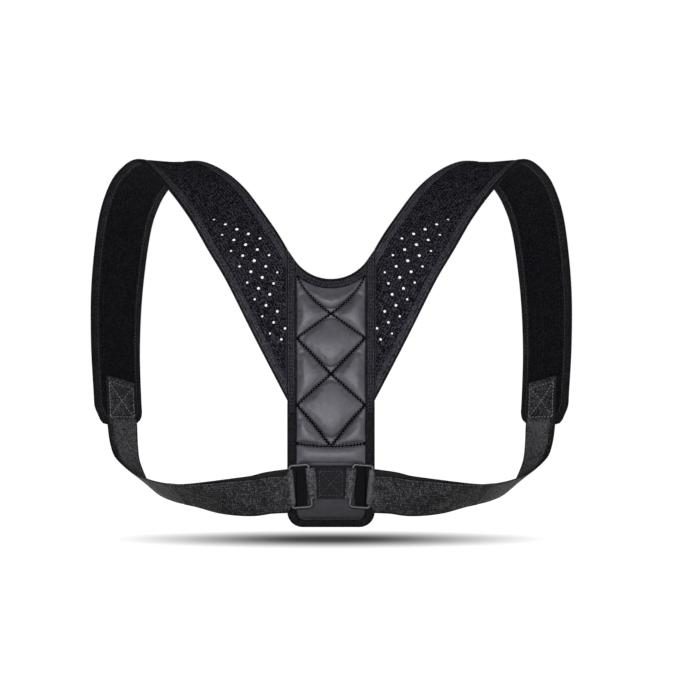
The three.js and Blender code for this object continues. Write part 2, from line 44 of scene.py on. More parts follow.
# Setting: a white studio floor just under the tab, a broad soft light overhead, a large soft box in
# front and a small one at the side. The floor throws light back, so the lower side of each padded
# cell shines. The camera stands straight behind the wearer's back and far off.
MM = 0.001
SENSOR = 36
PICTURE_WIDTH = 706.2
CAMERA_PLACE = (8.84, -2400, 64)
FLOOR_HEIGHT = -146
FLOOR_SIZE = 60000
ROOM_LIGHT = 0.1
FLOOR_GLOW = 0.98
FLOOR_GREY = 0.25
SKY_POWER = 0.85
SKY_ANGLE = radians(70)

scene = bpy.context.scene
scene.view_settings.view_transform = "Standard"
camera = bpy.data.objects.new("camera", bpy.data.cameras.new("camera"))
scene.collection.objects.link(camera)
camera.location = [x * MM for x in CAMERA_PLACE]
camera.rotation_euler = (pi / 2, 0, 0)
camera.data.sensor_width = SENSOR
camera.data.lens = SENSOR * -CAMERA_PLACE[1] / PICTURE_WIDTH
scene.camera = camera

Light = namedtuple("Light", "place width height power")
LIGHTS = {
    "front_box": Light(place=(-70, -620, -70), width=400, height=420, power=4.3),
    "side_box": Light(place=(900, -700, 500), width=300, height=300, power=2.5),
}
LIGHT_TINT = (0.98, 0.96, 1.08)
for label, light in LIGHTS.items():
    lamp = bpy.data.lights.new(label, "AREA")
    lamp.shape = "RECTANGLE"
    lamp.size = light.width * MM
    lamp.size_y = light.height * MM
    lamp.color = LIGHT_TINT
    lamp.energy = light.power
    holder = bpy.data.objects.new(label, lamp)
    scene.collection.objects.link(holder)
    holder.location = [x * MM for x in light.place]
    aim = -holder.location
    holder.rotation_euler = aim.to_track_quat("-Z", "Y").to_euler()
    holder.visible_camera = False
sky = bpy.data.lights.new("overhead", "SUN")
sky.energy = SKY_POWER
sky.angle = SKY_ANGLE
scene.collection.objects.link(bpy.data.objects.new("overhead", sky))


class Wire:
    """A shader socket. Sums on it add their Math nodes; node() adds any other node."""

    def __init__(self, tree, socket=None):
        self.tree = tree
        self.socket = socket

    def node(self, kind, settings, inputs, out=0):
        made = self.tree.nodes.new("ShaderNode" + kind)
        for name, value in settings.items():
            setattr(made, name, value)
        for name, value in inputs.items():
            if isinstance(value, Wire):
                self.tree.links.new(value.socket, made.inputs[name])
            else:
                made.inputs[name].default_value = value
        return Wire(self.tree, made.outputs[out])

    def math(self, operation, *values):
        return self.node("Math", {"operation": operation}, dict(enumerate(values)))

    def __add__(self, other):
        return self.math("ADD", self, other)

    def __sub__(self, other):
        return self.math("SUBTRACT", self, other)

    def __rsub__(self, other):
        return self.math("SUBTRACT", other, self)

    def __mul__(self, other):
        return self.math("MULTIPLY", self, other)

    def __truediv__(self, other):
        return self.math("DIVIDE", self, other)

    __radd__ = __add__
    __rmul__ = __mul__

    def sine(self):
        return self.math("SINE", self)

    def round(self):
        return self.math("ROUND", self)

    def root(self):
        return self.math("SQRT", self)

    def size(self):
        return self.math("ABSOLUTE", self)

    def wave(self, pitch, shift=0.0):
        """Sine over a length, with its pitch in millimetres"""
        return (self * (2 * pi / (pitch * MM)) + shift).sine()

    def step(self, low, high):
        """Smooth step from 0 at low to 1 at high"""
        settings = {"interpolation_type": "SMOOTHSTEP", "clamp": True}
        return self.node("MapRange", settings, {"Value": self, "From Min": low, "From Max": high})

    def mix(self, dark, light):
        """Colour from dark to light as this goes from 0 to 1"""
        return self.node("Mix", {"data_type": "RGBA"}, {0: self, 6: (*dark, 1), 7: (*light, 1)}, out=2)

    def parts(self):
        """The three numbers of a vector"""
        made = self.tree.nodes.new("ShaderNodeSeparateXYZ")
        self.tree.links.new(self.socket, made.inputs[0])
        return [Wire(self.tree, socket) for socket in made.outputs]

    def place(self):
        """Where the surface is, in the object's own coordinates"""
        return self.node("TexCoord", {}, {}, out="Object")

    def cloth(self):
        """Where the surface is on its cloth: across and along"""
        return self.node("UVMap", {"uv_map": "cloth"}, {}).parts()[:2]

    def marked(self, name):
        """The amount that is marked on the points of the mesh"""
        return self.node("Attribute", {"attribute_name": name}, {}, out="Fac")

    def noise(self, scale, detail, roughness=0.5):
        inputs = {"Vector": self.place(), "Scale": scale, "Detail": detail, "Roughness": roughness}
        return self.node("TexNoise", {}, inputs)


world = bpy.data.worlds.new("studio")
world.use_nodes = True
scene.world = world
room = world.node_tree.nodes["Background"]
room.inputs["Color"].default_value = (1, 1, 1, 1)
backdrop = Wire(world.node_tree).node("LightPath", {}, {}, out="Is Camera Ray")
brightness = backdrop * (1 - ROOM_LIGHT) + ROOM_LIGHT
world.node_tree.links.new(brightness.socket, room.inputs["Strength"])


def new_material(name):
    """An empty material with its Principled shader, and a Wire to add nodes with"""
    material = bpy.data.materials.new(name)
    material.use_nodes = True
    return material, Wire(material.node_tree), material.node_tree.nodes["Principled BSDF"]


def connect(wires, shader, **sockets):
    """Sets or links the shader's sockets, named with underscores for spaces"""
    for name, value in sockets.items():
        socket = shader.inputs[name.replace("_", " ")]
        if isinstance(value, Wire):
            wires.tree.links.new(value.socket, socket)
        else:
            socket.default_value = value


def bump(wires, height, depth):
    """Normal from a height of 0 to 1 that stands for depth millimetres"""
    inputs = {"Height": height, "Distance": depth * MM, "Strength": 1.0}
    return wires.node("Bump", {}, inputs)


SHADOW_SHIFT = 27
SHADOW_REACH = (275, 137)
SHADOW_CORE = 0.1
SHADOW_DEPTH = 0.94
floor_white, wires, shader = new_material("studio_floor")
x, y = wires.place().parts()[:2]
far_x = x / (SHADOW_REACH[0] * MM)
far_y = (y - SHADOW_SHIFT * MM) / (SHADOW_REACH[1] * MM)
far = (far_x * far_x + far_y * far_y).root()
shadow = (1 - far.step(SHADOW_CORE, 1.0)) * SHADOW_DEPTH
connect(
    wires, shader,
    Base_Color=shadow.mix((FLOOR_GREY,) * 3, (0, 0, 0)),
    Roughness=0.9,
    Specular_IOR_Level=0.0,
    Emission_Color=shadow.mix((1, 1, 1), (0, 0, 0)),
    Emission_Strength=FLOOR_GLOW,
)
bpy.ops.mesh.primitive_plane_add(size=FLOOR_SIZE * MM, location=(0, 0, FLOOR_HEIGHT * MM))
floor = bpy.context.object
bpy.ops.object.transform_apply(location=True)
floor.name = "studio_floor"
floor.data.materials.append(floor_white)

# Arms: knitted spacer mesh over thin foam, punched with rows of holes where they leave the panel.
# They run from the panel over the shoulders and down the chest. Each is one padded band, laid
# along the path that the whole side follows, with its outer and inner face bulging a little.
PANEL_WIDTH = 91
PANEL_THICKNESS = 4
CLEARANCE = 0.3
TAPE_WIDTH = 8.5
TAPE_THICKNESS = 0.8
TAPE_REACH = CLEARANCE + TAPE_THICKNESS
PANEL_CORE = PANEL_WIDTH / 2 - TAPE_REACH
SEAM_X = PANEL_CORE + CLEARANCE

PATH_SPAN = 236
PATH_HEIGHT = 252
PATH_DEPTH = 122
Row = namedtuple("Row", "out deep up turn lean")
PATH_ROWS = {
    "under the panel": Row(out=0.01, deep=0, up=-0.012, turn=0, lean=0),
    "arm seam": Row(out=0.194, deep=0, up=0.315, turn=0, lean=0),
    "shoulder blade": Row(out=0.326, deep=0.007, up=0.555, turn=3, lean=0),
    "upper back": Row(out=0.415, deep=0.061, up=0.69, turn=12, lean=-1),
    "back slope": Row(out=0.5, deep=0.164, up=0.813, turn=24, lean=-3),
    "shoulder rise": Row(out=0.593, deep=0.292, up=0.908, turn=42, lean=-6),
    "shoulder top": Row(out=0.695, deep=0.439, up=0.979, turn=68, lean=-4),
    "shoulder crest": Row(out=0.776, deep=0.587, up=0.998, turn=100, lean=4),
    "collar bone": Row(out=0.85, deep=0.749, up=0.944, turn=132, lean=11),
    "front rise": Row(out=0.908, deep=0.862, up=0.868, turn=153, lean=18),
    "front upper": Row(out=0.955, deep=0.941, up=0.735, turn=168, lean=26),
    "front middle": Row(out=0.99, deep=0.99, up=0.48, turn=177, lean=32),
    "front lower": Row(out=0.998, deep=1, up=0.23, turn=180, lean=38),
    "above the end": Row(out=0.988, deep=0.995, up=-0.008, turn=184, lean=41),
    "arm end": Row(out=0.982, deep=0.975, up=-0.111, turn=194, lean=37),
    "below the arm": Row(out=0.967, deep=0.936, up=-0.21, turn=216, lean=39),
    "side": Row(out=0.938, deep=0.862, up=-0.287, turn=240, lean=42),
    "pinch": Row(out=0.866, deep=0.675, up=-0.362, turn=268, lean=46),
    "side back": Row(out=0.77, deep=0.469, up=-0.396, turn=282, lean=44),
    "lower ribs": Row(out=0.65, deep=0.272, up=-0.409, turn=298, lean=34),
    "ribs": Row(out=0.508, deep=0.1, up=-0.404, turn=328, lean=22),
    "beside the spine": Row(out=0.36, deep=-0.025, up=-0.386, turn=353, lean=16),
}

ARM_THICKNESS = 3
PAD_SEAM_THICKNESS = 2.6
WEBBING_WIDTH = 38
WEBBING_THICKNESS = 1.6
HOLDER_THICKNESS = 1.5
RING_WIDTH = 24
RING_WIRE = 3.6
RING_PLAY = 1.15
RING_INSET = 2
RING_DROP = 88
RING_TILT = radians(5)
APPROACH_LENGTH = 22
APPROACH_SLOPE = radians(8)

PAD_SEAM_Y = -(PANEL_THICKNESS + CLEARANCE + PAD_SEAM_THICKNESS)
RING_X = PANEL_WIDTH / 2 - RING_INSET - RING_WIDTH / 2
RING_Y = PAD_SEAM_Y - CLEARANCE - HOLDER_THICKNESS - CLEARANCE - RING_WIRE / 2
RING_HEIGHT = WEBBING_WIDTH + 2 * (RING_PLAY + RING_WIRE)
BAR_REACH = (RING_WIDTH - RING_WIRE) / 2 * cos(RING_TILT)
BAR_DROP = (RING_WIDTH - RING_WIRE) / 2 * sin(RING_TILT)
WRAP_RADIUS = RING_WIRE / 2 + CLEARANCE + WEBBING_THICKNESS / 2
STRAP_OFFSET = ARM_THICKNESS / 2 + TAPE_REACH + CLEARANCE + WEBBING_THICKNESS / 2

outer_bar_x = RING_X + BAR_REACH
outer_bar_z = -RING_DROP - BAR_DROP
approach_y = RING_Y + WRAP_RADIUS - STRAP_OFFSET
path_points = np.array(
    [
        (row.out * PATH_SPAN, row.deep * PATH_DEPTH - PANEL_THICKNESS / 2, row.up * PATH_HEIGHT)
        for row in PATH_ROWS.values()
    ]
    + [
        (outer_bar_x + APPROACH_LENGTH, approach_y, outer_bar_z - APPROACH_LENGTH * tan(APPROACH_SLOPE)),
        (outer_bar_x, approach_y, outer_bar_z),
    ]
)
path_turns = np.array([(row.turn, row.lean) for row in PATH_ROWS.values()] + [(360, 0), (360, 0)])


def on_curve(points, share):
    """Points of the smooth curve through points, at shares of its steps from 0 to 1"""
    ends = np.vstack([2 * points[0] - points[1], points, 2 * points[-1] - points[-2]])
    place = np.clip(share, 0, 1) * (len(points) - 1)
    index = np.minimum(place.astype(int), len(points) - 2)
    x = (place - index)[..., None]
    before, start, end, after = [ends[index + n] for n in range(4)]
    leave = (end - before) / 2
    arrive = (after - start) / 2
    bend = 3 * (end - start) - 2 * leave - arrive
    return start + leave * x + bend * x**2 + (2 * (start - end) + leave + arrive) * x**3


def unit(vectors):
    return vectors / np.linalg.norm(vectors, axis=-1, keepdims=True)


def fade(value):
    """Smooth step from 0 to 1"""
    x = np.clip(value, 0, 1)
    return x * x * (3 - 2 * x)


def run_length(points):
    """Distance run along a line of points"""
    return np.concatenate([[0], np.cumsum(np.linalg.norm(np.diff(points, axis=0), axis=1))])


PATH_STEPS = 800
path_shares = np.linspace(0, 1, PATH_STEPS + 1)
path_miles = run_length(on_curve(path_points, path_shares))
path_length = path_miles[-1]

Place = namedtuple("Place", "centre along across outward")


def path_place(distance):
    """Centre and directions of the right side's path at distances along it"""
    share = np.interp(distance, path_miles, path_shares)
    nudge = 1e-4
    tip, lean = np.moveaxis(np.radians(on_curve(path_turns, share)), -1, 0)
    along = unit(on_curve(path_points, share + nudge) - on_curve(path_points, share - nudge))
    facing = np.stack([np.sin(lean), -np.cos(lean) * np.cos(tip), np.cos(lean) * np.sin(tip)], -1)
    across = unit(np.cross(facing, along))
    return Place(on_curve(path_points, share), along, across, np.cross(along, across))


def on_place(place, a, b):
    """Points that lie a across and b outwards of a place"""
    sideways = place.across * np.asarray(a)[..., None]
    return place.centre + sideways + place.outward * np.asarray(b)[..., None]


SEAM_HALVINGS = 30


def seam_distance(a):
    """Distance at which the line a across meets the seam with the panel"""
    low = np.zeros(np.shape(a))
    high = np.full(np.shape(a), path_length / 3)
    for _ in range(SEAM_HALVINGS):
        middle = (low + high) / 2
        inside = on_place(path_place(middle), a, np.zeros(np.shape(a)))[..., 0] < SEAM_X
        low = np.where(inside, middle, low)
        high = np.where(inside, high, middle)
    return low


ARM_WIDTH = 62.5
ARM_ROOT_WIDTH = 73
ARM_TAPER_LENGTH = 330
ARM_SLANT_LENGTH = 170
ARM_LENGTH = 556
LATERAL_CORNER = (10, 19)
MEDIAL_CORNER = (6, 9)
ARM_ROW = 1.8
ARM_COLUMNS = 34
SEAM_TABLE_REACH = 45

seam_centre = float(seam_distance(np.array(0.0)))
seam_table_a = np.linspace(-SEAM_TABLE_REACH, SEAM_TABLE_REACH, 2 * SEAM_TABLE_REACH + 1)
seam_table = seam_distance(seam_table_a)


def arm_edges(distance):
    """Core edges of the arm at distances from the seam; both corners of its end are cut off"""
    width = ARM_ROOT_WIDTH + (ARM_WIDTH - ARM_ROOT_WIDTH) * fade(distance / ARM_TAPER_LENGTH)
    half = width / 2 - TAPE_REACH
    lateral_cut = np.clip(1 - (ARM_LENGTH - distance) / LATERAL_CORNER[1], 0, 1)
    medial_cut = np.clip(1 - (ARM_LENGTH - distance) / MEDIAL_CORNER[1], 0, 1)
    return -half + LATERAL_CORNER[0] * lateral_cut, half - MEDIAL_CORNER[0] * medial_cut


def arm_distance(distance, a):
    """Distance along the path: sections lie along the seam at the root and turn square later"""
    start = np.interp(a, seam_table_a, seam_table)
    blend = fade(distance / ARM_SLANT_LENGTH)
    return distance + start * (1 - blend) + seam_centre * blend


def on_arm(distance, a, b, side):
    """Points of one arm; side is -1 for the left one"""
    return on_place(path_place(distance), a, b) * (side, 1, 1)


def make_mesh(name, points, faces, coordinates):
    """A mesh from points and faces of four corners, with the cloth's own coordinates of each
    corner, across and along, as its UV map. Its faces are turned outwards."""
    corners = points[faces]
    first = np.cross(corners[:, 1], corners[:, 2])
    second = np.cross(corners[:, 2], corners[:, 3])
    volume = np.sum(corners[:, 0] * (first + second))
    if volume < 0:
        faces = faces[:, ::-1]
        coordinates = coordinates[:, ::-1]
    mesh = bpy.data.meshes.new(name)
    mesh.from_pydata((points * MM).tolist(), [], faces.tolist())
    layer = mesh.uv_layers.new(name="cloth")
    layer.data.foreach_set("uv", (coordinates * MM).astype(np.float32).ravel())
    mesh.shade_smooth()
    return mesh


def band_mesh(name, rows, across, along, closed=False):
    """A band of cloth from rows of points, each row a closed loop round its section. across runs
    round the loop and along runs down the rows; a closed band ends where it began."""
    count, around = rows.shape[:2]
    across = np.broadcast_to(across, (count, around + 1))
    along = np.broadcast_to(along[:, None] if along.ndim == 1 else along, across.shape)
    i, j = np.meshgrid(np.arange(count if closed else count - 1), np.arange(around), indexing="ij")
    here = i * around
    there = (i + 1) % count * around
    after = (j + 1) % around
    faces = np.stack([here + j, there + j, there + after, here + after], -1).reshape(-1, 4)
    last = np.minimum(i + 1, count - 1)
    ends = [(i, j), (last, j), (last, j + 1), (i, j + 1)]
    uv = np.stack([np.stack([across[p], along[p]], -1) for p in ends], -2).reshape(-1, 4, 2)
    if not closed:
        half = np.arange(around // 2 - 1)
        start = np.stack([half, half + 1, around - 2 - half, around - 1 - half], -1)
        end = (start + (count - 1) * around)[:, ::-1]
        faces = np.concatenate([faces, start, end])
        caps = [np.stack([across[row][start], along[row][start]], -1) for row in (0, -1)]
        uv = np.concatenate([uv, caps[0], caps[1][:, ::-1]])
    return make_mesh(name, rows.reshape(-1, 3), faces, uv)


def mark(mesh, name, amounts):
    """Marks an amount at each point of a mesh, for its material to read"""
    layer = mesh.attributes.new(name, "FLOAT", "POINT")
    layer.data.foreach_set("value", np.array(amounts, dtype=np.float32).ravel())


def put(name, mesh, finish, slot, *nodes):
    """Adds a finished piece, in place of the CAD nodes that it stands for"""
    made = bpy.data.objects.new(name, mesh)
    scene.collection.objects.link(made)
    mesh.materials.append(finish)
    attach(made, "root")
    if nodes:
        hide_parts(*nodes)
    return made


HOLE_FLARE = 1.15**3
HOLE_PROFILE = {-4: HOLE_FLARE, -1.6: 1.0, 1.6: 1.0, 4: HOLE_FLARE}
HOLE_SIDES = 14
HOLE_SPACING = 8.2
HOLE_PITCH = 19.3
HOLE_STAGGER = 10.9
HOLE_TURN = radians(3)
HOLE_START = 137.5
HOLE_INSET = 18.5
Holes = namedtuple("Holes", "count diameter")
HOLE_LINES = [
    Holes(count=8, diameter=3.0),
    Holes(count=9, diameter=3.5),
    Holes(count=7, diameter=3.7),
    Holes(count=4, diameter=3.5),
    Holes(count=3, diameter=2.9),
]
LAST_HOLE_SHARE = 0.62

# Knitted mesh: black, with small raised stitches in staggered columns, paler fibres here and there and the
# faint dimples of the punched pattern, which run on over the shoulder. The raised stitches are paler,
# partly as painted sheen, and the colour is darkened round each hole and in the dimples as painted shade.
# The side towards the body is plain and darker.
KNIT_WALE = 3.0
KNIT_COURSE = 2.1
KNIT_ZIGZAG = 4.2
KNIT_SWAY = 1.2
FIBRE_SCALE = 560.0
WEAR_SCALE = 70.0
DIMPLE_RIM = (1.0, 2.6)
DIMPLE_FIELD = (20.5, 22.5)
DIMPLE_PAINTED_SHADE = 0.25
BODY_SIDE_LOSS = 0.75
KNIT_BLACK = (0.0008, 0.0008, 0.0011)
KNIT_PALE = (0.036, 0.034, 0.047)
knit, wires, shader = new_material("knitted_mesh")
a, p = wires.cloth()
wales = a.wave(KNIT_WALE, p.wave(KNIT_ZIGZAG) * KNIT_SWAY)
loops = p.wave(KNIT_COURSE, wales)
fibres = wires.noise(FIBRE_SCALE, 3.0)
patches = wires.noise(WEAR_SCALE, 2.0)
plain = wires.marked("plain")
raised = wales * 0.15 + loops * 0.13 + fibres * 2.2 - 0.65
back = HOLE_START * MM - p
place = a + (ARM_WIDTH / 2 - HOLE_INSET) * MM + back * tan(HOLE_TURN)
line = (place / (HOLE_SPACING * MM)).round()
run = back - line * (HOLE_STAGGER * MM)
off_along = run - (run / (HOLE_PITCH * MM)).round() * (HOLE_PITCH * MM)
off_across = place - line * (HOLE_SPACING * MM)
from_hole = (off_along * off_along + off_across * off_across).root()
dimple = 1 - from_hole.step(*[edge * MM for edge in DIMPLE_RIM])
on_field = 1 - a.size().step(*[edge * MM for edge in DIMPLE_FIELD])
dimple = dimple * on_field * (1 - plain)
# Raised stitches paler, partly painted sheen; round each hole and in the dimples the colour is darkened as
# painted shade.
shade = (raised - dimple * DIMPLE_PAINTED_SHADE + patches * 0.25).step(0.4, 1.05)
shade = shade * (1 - plain * BODY_SIDE_LOSS)
connect(
    wires, shader,
    Base_Color=shade.mix(KNIT_BLACK, KNIT_PALE),
    Roughness=0.92 - shade * 0.2,
    Specular_IOR_Level=0.1,
    Normal=bump(wires, raised * 0.6 - dimple * 0.2, 0.7),
)


ARM_PUFF = 0.9
ARM_PUFF_WIDTH = 9
PUFF_UNDER_TAPE = 2
ARM_PUFF_ENDS = (12, 14)
ARM_RIPPLE = 0.22
ARM_RIPPLE_LENGTH = 11
ARM_RIPPLE_WIDTH = 9
ARM_EDGE_RADIUS = 1.2
ARM_EDGE_SHARE = 0.35


def there_and_back(values):
    """Values of both faces of a band, round its section and back to its start"""
    return np.concatenate([values, values[..., ::-1], values[..., :1]], axis=-1)


def arm_rows(side):
    """Rows of points round the arm's section, with the cloth's coordinates across and along"""
    stations = np.linspace(0, ARM_LENGTH, int(ARM_LENGTH / ARM_ROW))[:, None]
    lateral, medial = arm_edges(stations)
    a = lateral + (medial - lateral) * np.linspace(0, 1, ARM_COLUMNS)
    inside = np.minimum(a - lateral, medial - a)
    rise = fade((inside - TAPE_WIDTH + PUFF_UNDER_TAPE) / ARM_PUFF_WIDTH)
    ends = fade(stations / ARM_PUFF_ENDS[0]) * fade((ARM_LENGTH - stations) / ARM_PUFF_ENDS[1])
    ripple = np.sin(stations / ARM_RIPPLE_LENGTH + 2 * np.sin(a / ARM_RIPPLE_WIDTH))
    height = ARM_THICKNESS / 2 + ARM_PUFF * rise * ends + ARM_RIPPLE * ripple * rise
    rounded = np.sqrt(np.clip(inside / ARM_EDGE_RADIUS, 0, 1))
    height = height * (ARM_EDGE_SHARE + (1 - ARM_EDGE_SHARE) * rounded)
    distance = arm_distance(stations, a)
    outer = on_arm(distance, a, height, side)
    inner = on_arm(distance, a, -height, side)
    rows = np.concatenate([outer, inner[:, ::-1]], axis=1)
    return rows, there_and_back(a), there_and_back(distance) - seam_centre


def hole_cutters(side):
    """One mesh with a flared plug for each punched hole"""
    angles = np.arange(HOLE_SIDES) * 2 * pi / HOLE_SIDES
    points = []
    faces = []
    for line, holes in enumerate(HOLE_LINES):
        for i in range(holes.count):
            radius = holes.diameter / 2 * (1 - (1 - LAST_HOLE_SHARE) * i / holes.count)
            back = i * HOLE_PITCH + line * HOLE_STAGGER
            a = -ARM_WIDTH / 2 + HOLE_INSET + line * HOLE_SPACING - back * tan(HOLE_TURN)
            place = path_place(np.array(seam_centre + HOLE_START - back))
            start = len(points)
            for height, flare in HOLE_PROFILE.items():
                for angle in angles:
                    reach = radius * flare
                    spot = on_place(place, a + reach * cos(angle), height)
                    spot = spot + place.along * reach * sin(angle)
                    points.append(spot * (side, 1, 1) * MM)
            end = start + (len(HOLE_PROFILE) - 1) * HOLE_SIDES
            for here in range(start, end, HOLE_SIDES):
                for k in range(HOLE_SIDES):
                    after = (k + 1) % HOLE_SIDES
                    there = here + HOLE_SIDES
                    faces.append([here + k, here + after, there + after, there + k])
            faces.append([start + k for k in reversed(range(HOLE_SIDES))])
            faces.append([end + k for k in range(HOLE_SIDES)])
    mesh = bpy.data.meshes.new("hole_cutters")
    mesh.from_pydata([tuple(point) for point in points], [], faces)
    made = bpy.data.objects.new("hole_cutters", mesh)
    scene.collection.objects.link(made)
    bpy.ops.object.select_all(action="DESELECT")
    bpy.context.view_layer.objects.active = made
    bpy.ops.object.mode_set(mode="EDIT")
    bpy.ops.mesh.select_all(action="SELECT")
    bpy.ops.mesh.normals_make_consistent(inside=False)
    bpy.ops.object.mode_set(mode="OBJECT")
    return made


SIDES = {"left": -1, "right": 1}
for label, side in SIDES.items():
    mesh = band_mesh(f"{label}_mesh_arm", *arm_rows(side))
    mark(mesh, "plain", np.arange(len(mesh.vertices)) % (2 * ARM_COLUMNS) >= ARM_COLUMNS)
    arm = put(f"{label}_mesh_arm", mesh, knit, "knitted_mesh", f"{label}_arm")
    cutters = hole_cutters(side)
    punch = arm.modifiers.new("punch", "BOOLEAN")
    punch.operation = "DIFFERENCE"
    punch.solver = "EXACT"
    punch.object = cutters
    bpy.context.view_layer.objects.active = arm
    bpy.ops.object.modifier_apply(modifier=punch.name)
    bpy.data.objects.remove(cutters)

# Edge tapes: ribbed tape folded over the edges of the arms, the neck curve and the tab, with its
# lips pressed into the cloth by stitches on each face. The fold itself is smooth and black.
RIB_PITCH = 2.7
TAPE_WEAVE_PITCH = 2.3
TAPE_WEAVE_SWAY = 3.0
TAPE_WEAR_SCALE = 45.0
TAPE_PLAIN_LOSS = 0.8
TAPE_PALE = (0.049, 0.047, 0.059)
tape_black, wires, shader = new_material("edge_tape")
u, v = wires.cloth()
plain = wires.marked("plain")
ribs = u.wave(RIB_PITCH) * 0.5 + 0.5
weave = v.wave(TAPE_WEAVE_PITCH, ribs * TAPE_WEAVE_SWAY) * 0.5 + 0.5
fibres = wires.noise(FIBRE_SCALE, 3.0)
wear = wires.noise(TAPE_WEAR_SCALE, 2.0)
# Rib tops are paler and the grooves between them darker: painted light and shade on the ribs.
height = ribs * (1 - plain) * 0.34 + weave * 0.18 + fibres * 1.5 - 0.45
shade = (height + wear * 0.35).step(0.35, 1.25) * (1 - plain * TAPE_PLAIN_LOSS)
connect(
    wires, shader,
    Base_Color=shade.mix(KNIT_BLACK, TAPE_PALE),
    Roughness=0.85 - shade * 0.15,
    Specular_IOR_Level=0.15,
    Normal=bump(wires, height, 0.5),
)

THREAD_RADIUS = 0.33
THREAD_TWIST_SCALE = 2600.0
THREAD_TONES = {"pale_thread": 0.3, "quilting_thread": 0.13, "grey_thread": 0.06, "black_thread": 0.002}
STITCH_LENGTH = 2.9
STITCH_PITCH = 3.7
STITCH_SIDES = 6
StitchRing = namedtuple("StitchRing", "along size lift")
STITCH_RINGS = np.array([
    StitchRing(along=-0.5, size=0.35, lift=-0.9),
    StitchRing(along=-0.33, size=0.95, lift=0.15),
    StitchRing(along=0, size=1.0, lift=0.45),
    StitchRing(along=0.33, size=0.95, lift=0.15),
    StitchRing(along=0.5, size=0.35, lift=-0.9),
])
STITCH_CAP = np.array([[0, 1, 2, 3], [0, 3, 4, 5]])
threads = {}
for label, pale in THREAD_TONES.items():
    threads[label], wires, shader = new_material(label)
    twist = wires.noise(THREAD_TWIST_SCALE, 2.0)
    connect(
        wires, shader,
        Base_Color=twist.mix((pale / 9, pale / 9, pale / 8), (pale, pale, pale * 1.1)),
        Roughness=0.5 + twist * 0.2,
        Specular_IOR_Level=0.3,
        Normal=bump(wires, twist, 0.1),
    )


def along_line(values, miles, distance):
    """Values of a line of points at distances along it"""
    return np.stack([np.interp(distance, miles, axis) for axis in values.T], -1)


def stitch_faces():
    """Faces of the tube of one stitch, with its two caps"""
    k = np.arange(STITCH_SIDES)
    after = (k + 1) % STITCH_SIDES
    last = (len(STITCH_RINGS) - 1) * STITCH_SIDES
    tube = [
        np.stack([ring + k, ring + after, ring + STITCH_SIDES + after, ring + STITCH_SIDES + k], -1)
        for ring in range(0, last, STITCH_SIDES)
    ]
    return np.concatenate([*tube, STITCH_CAP, STITCH_CAP[:, ::-1] + last])


def sew(name, slot, seams, thread="grey_thread", pitch=STITCH_PITCH, length=STITCH_LENGTH,
        radius=THREAD_RADIUS):
    """Stitches along seams, each a line of points with the directions that the cloth faces. A
    stitch is a short thread that rises from the cloth and dives back at both ends."""
    angles = np.arange(STITCH_SIDES) * 2 * pi / STITCH_SIDES
    along, size, lift = STITCH_RINGS.T
    parts = []
    for points, normals in seams:
        miles = run_length(points)
        count = max(int(miles[-1] // pitch), 1)
        middle = (np.arange(count) + 0.5) * miles[-1] / count
        facing = unit(along_line(np.broadcast_to(normals, points.shape), miles, middle))
        ahead = unit(along_line(points, miles, middle + 1) - along_line(points, miles, middle - 1))
        aside = unit(np.cross(facing, ahead))
        spine = along_line(points, miles, middle)[:, None] + ahead[:, None] * (along * length)[:, None]
        spine = spine + facing[:, None] * (lift * radius)[:, None]
        round_it = aside[:, None, None] * np.cos(angles)[:, None]
        round_it = round_it + facing[:, None, None] * np.sin(angles)[:, None]
        parts.append((spine[:, :, None] + round_it * (size * radius)[:, None, None]).reshape(-1, 3))
    points = np.concatenate(parts)
    starts = np.arange(0, len(points), STITCH_SIDES * len(STITCH_RINGS))
    faces = (stitch_faces()[None] + starts[:, None, None]).reshape(-1, 4)
    mesh = make_mesh(name, points, faces, np.zeros((len(faces), 4, 2)))
    return put(name, mesh, threads[thread], slot)


TAPE_FACE_STEPS = 5
TAPE_FOLD_STEPS = 8
TAPE_FOLD_TURN = radians(84)
TAPE_FOLD_START = 3.4
TAPE_FOLD_POWER = 0.8
TAPE_LIP = 0.35
TAPE_SLACK = 0.1
TAPE_INNER_SHARE = 0.8
STITCH_DIP = 0.28
STITCH_DIP_WIDTH = 0.9
STITCH_SINK = 0.3
STITCH_INSET = 6.4
FOLD_SHADE = 1.0
FOLD_WIDTH = 1.5
BODY_SIDE_SHADE = 0.7


def tape_outline(core_thickness, width):
    """Section of a folded tape as reach inwards and height: its outer line from lip to lip, then its
    inner line back. Also the length round it."""
    top = core_thickness / 2 + TAPE_REACH - TAPE_SLACK
    core = core_thickness / 2 + TAPE_SLACK
    turn = np.linspace(0, TAPE_FOLD_TURN, TAPE_FOLD_STEPS)
    face = np.linspace(width, TAPE_FOLD_START, TAPE_FACE_STEPS, endpoint=False)
    fold = TAPE_FOLD_START - (TAPE_FOLD_START + TAPE_REACH) * np.sin(turn) / sin(TAPE_FOLD_TURN)
    reach = np.concatenate([face, fold])
    level = np.concatenate([np.full(TAPE_FACE_STEPS, top), top * np.cos(turn) ** TAPE_FOLD_POWER])
    level[0] -= TAPE_LIP
    level = level - STITCH_DIP * np.exp(-(((reach - STITCH_INSET) / STITCH_DIP_WIDTH) ** 2))
    inner_reach = np.maximum(reach, -TAPE_SLACK)
    inner_level = np.minimum(core, level * TAPE_INNER_SHARE)
    outer, inner = [
        np.concatenate([np.stack([across, up], -1), np.stack([across, -up], -1)[::-1]])
        for across, up in ((reach, level), (inner_reach, inner_level))
    ]
    outline = np.concatenate([outer, inner[::-1]])
    return outline, run_length(np.vstack([outline, outline[:1]]))


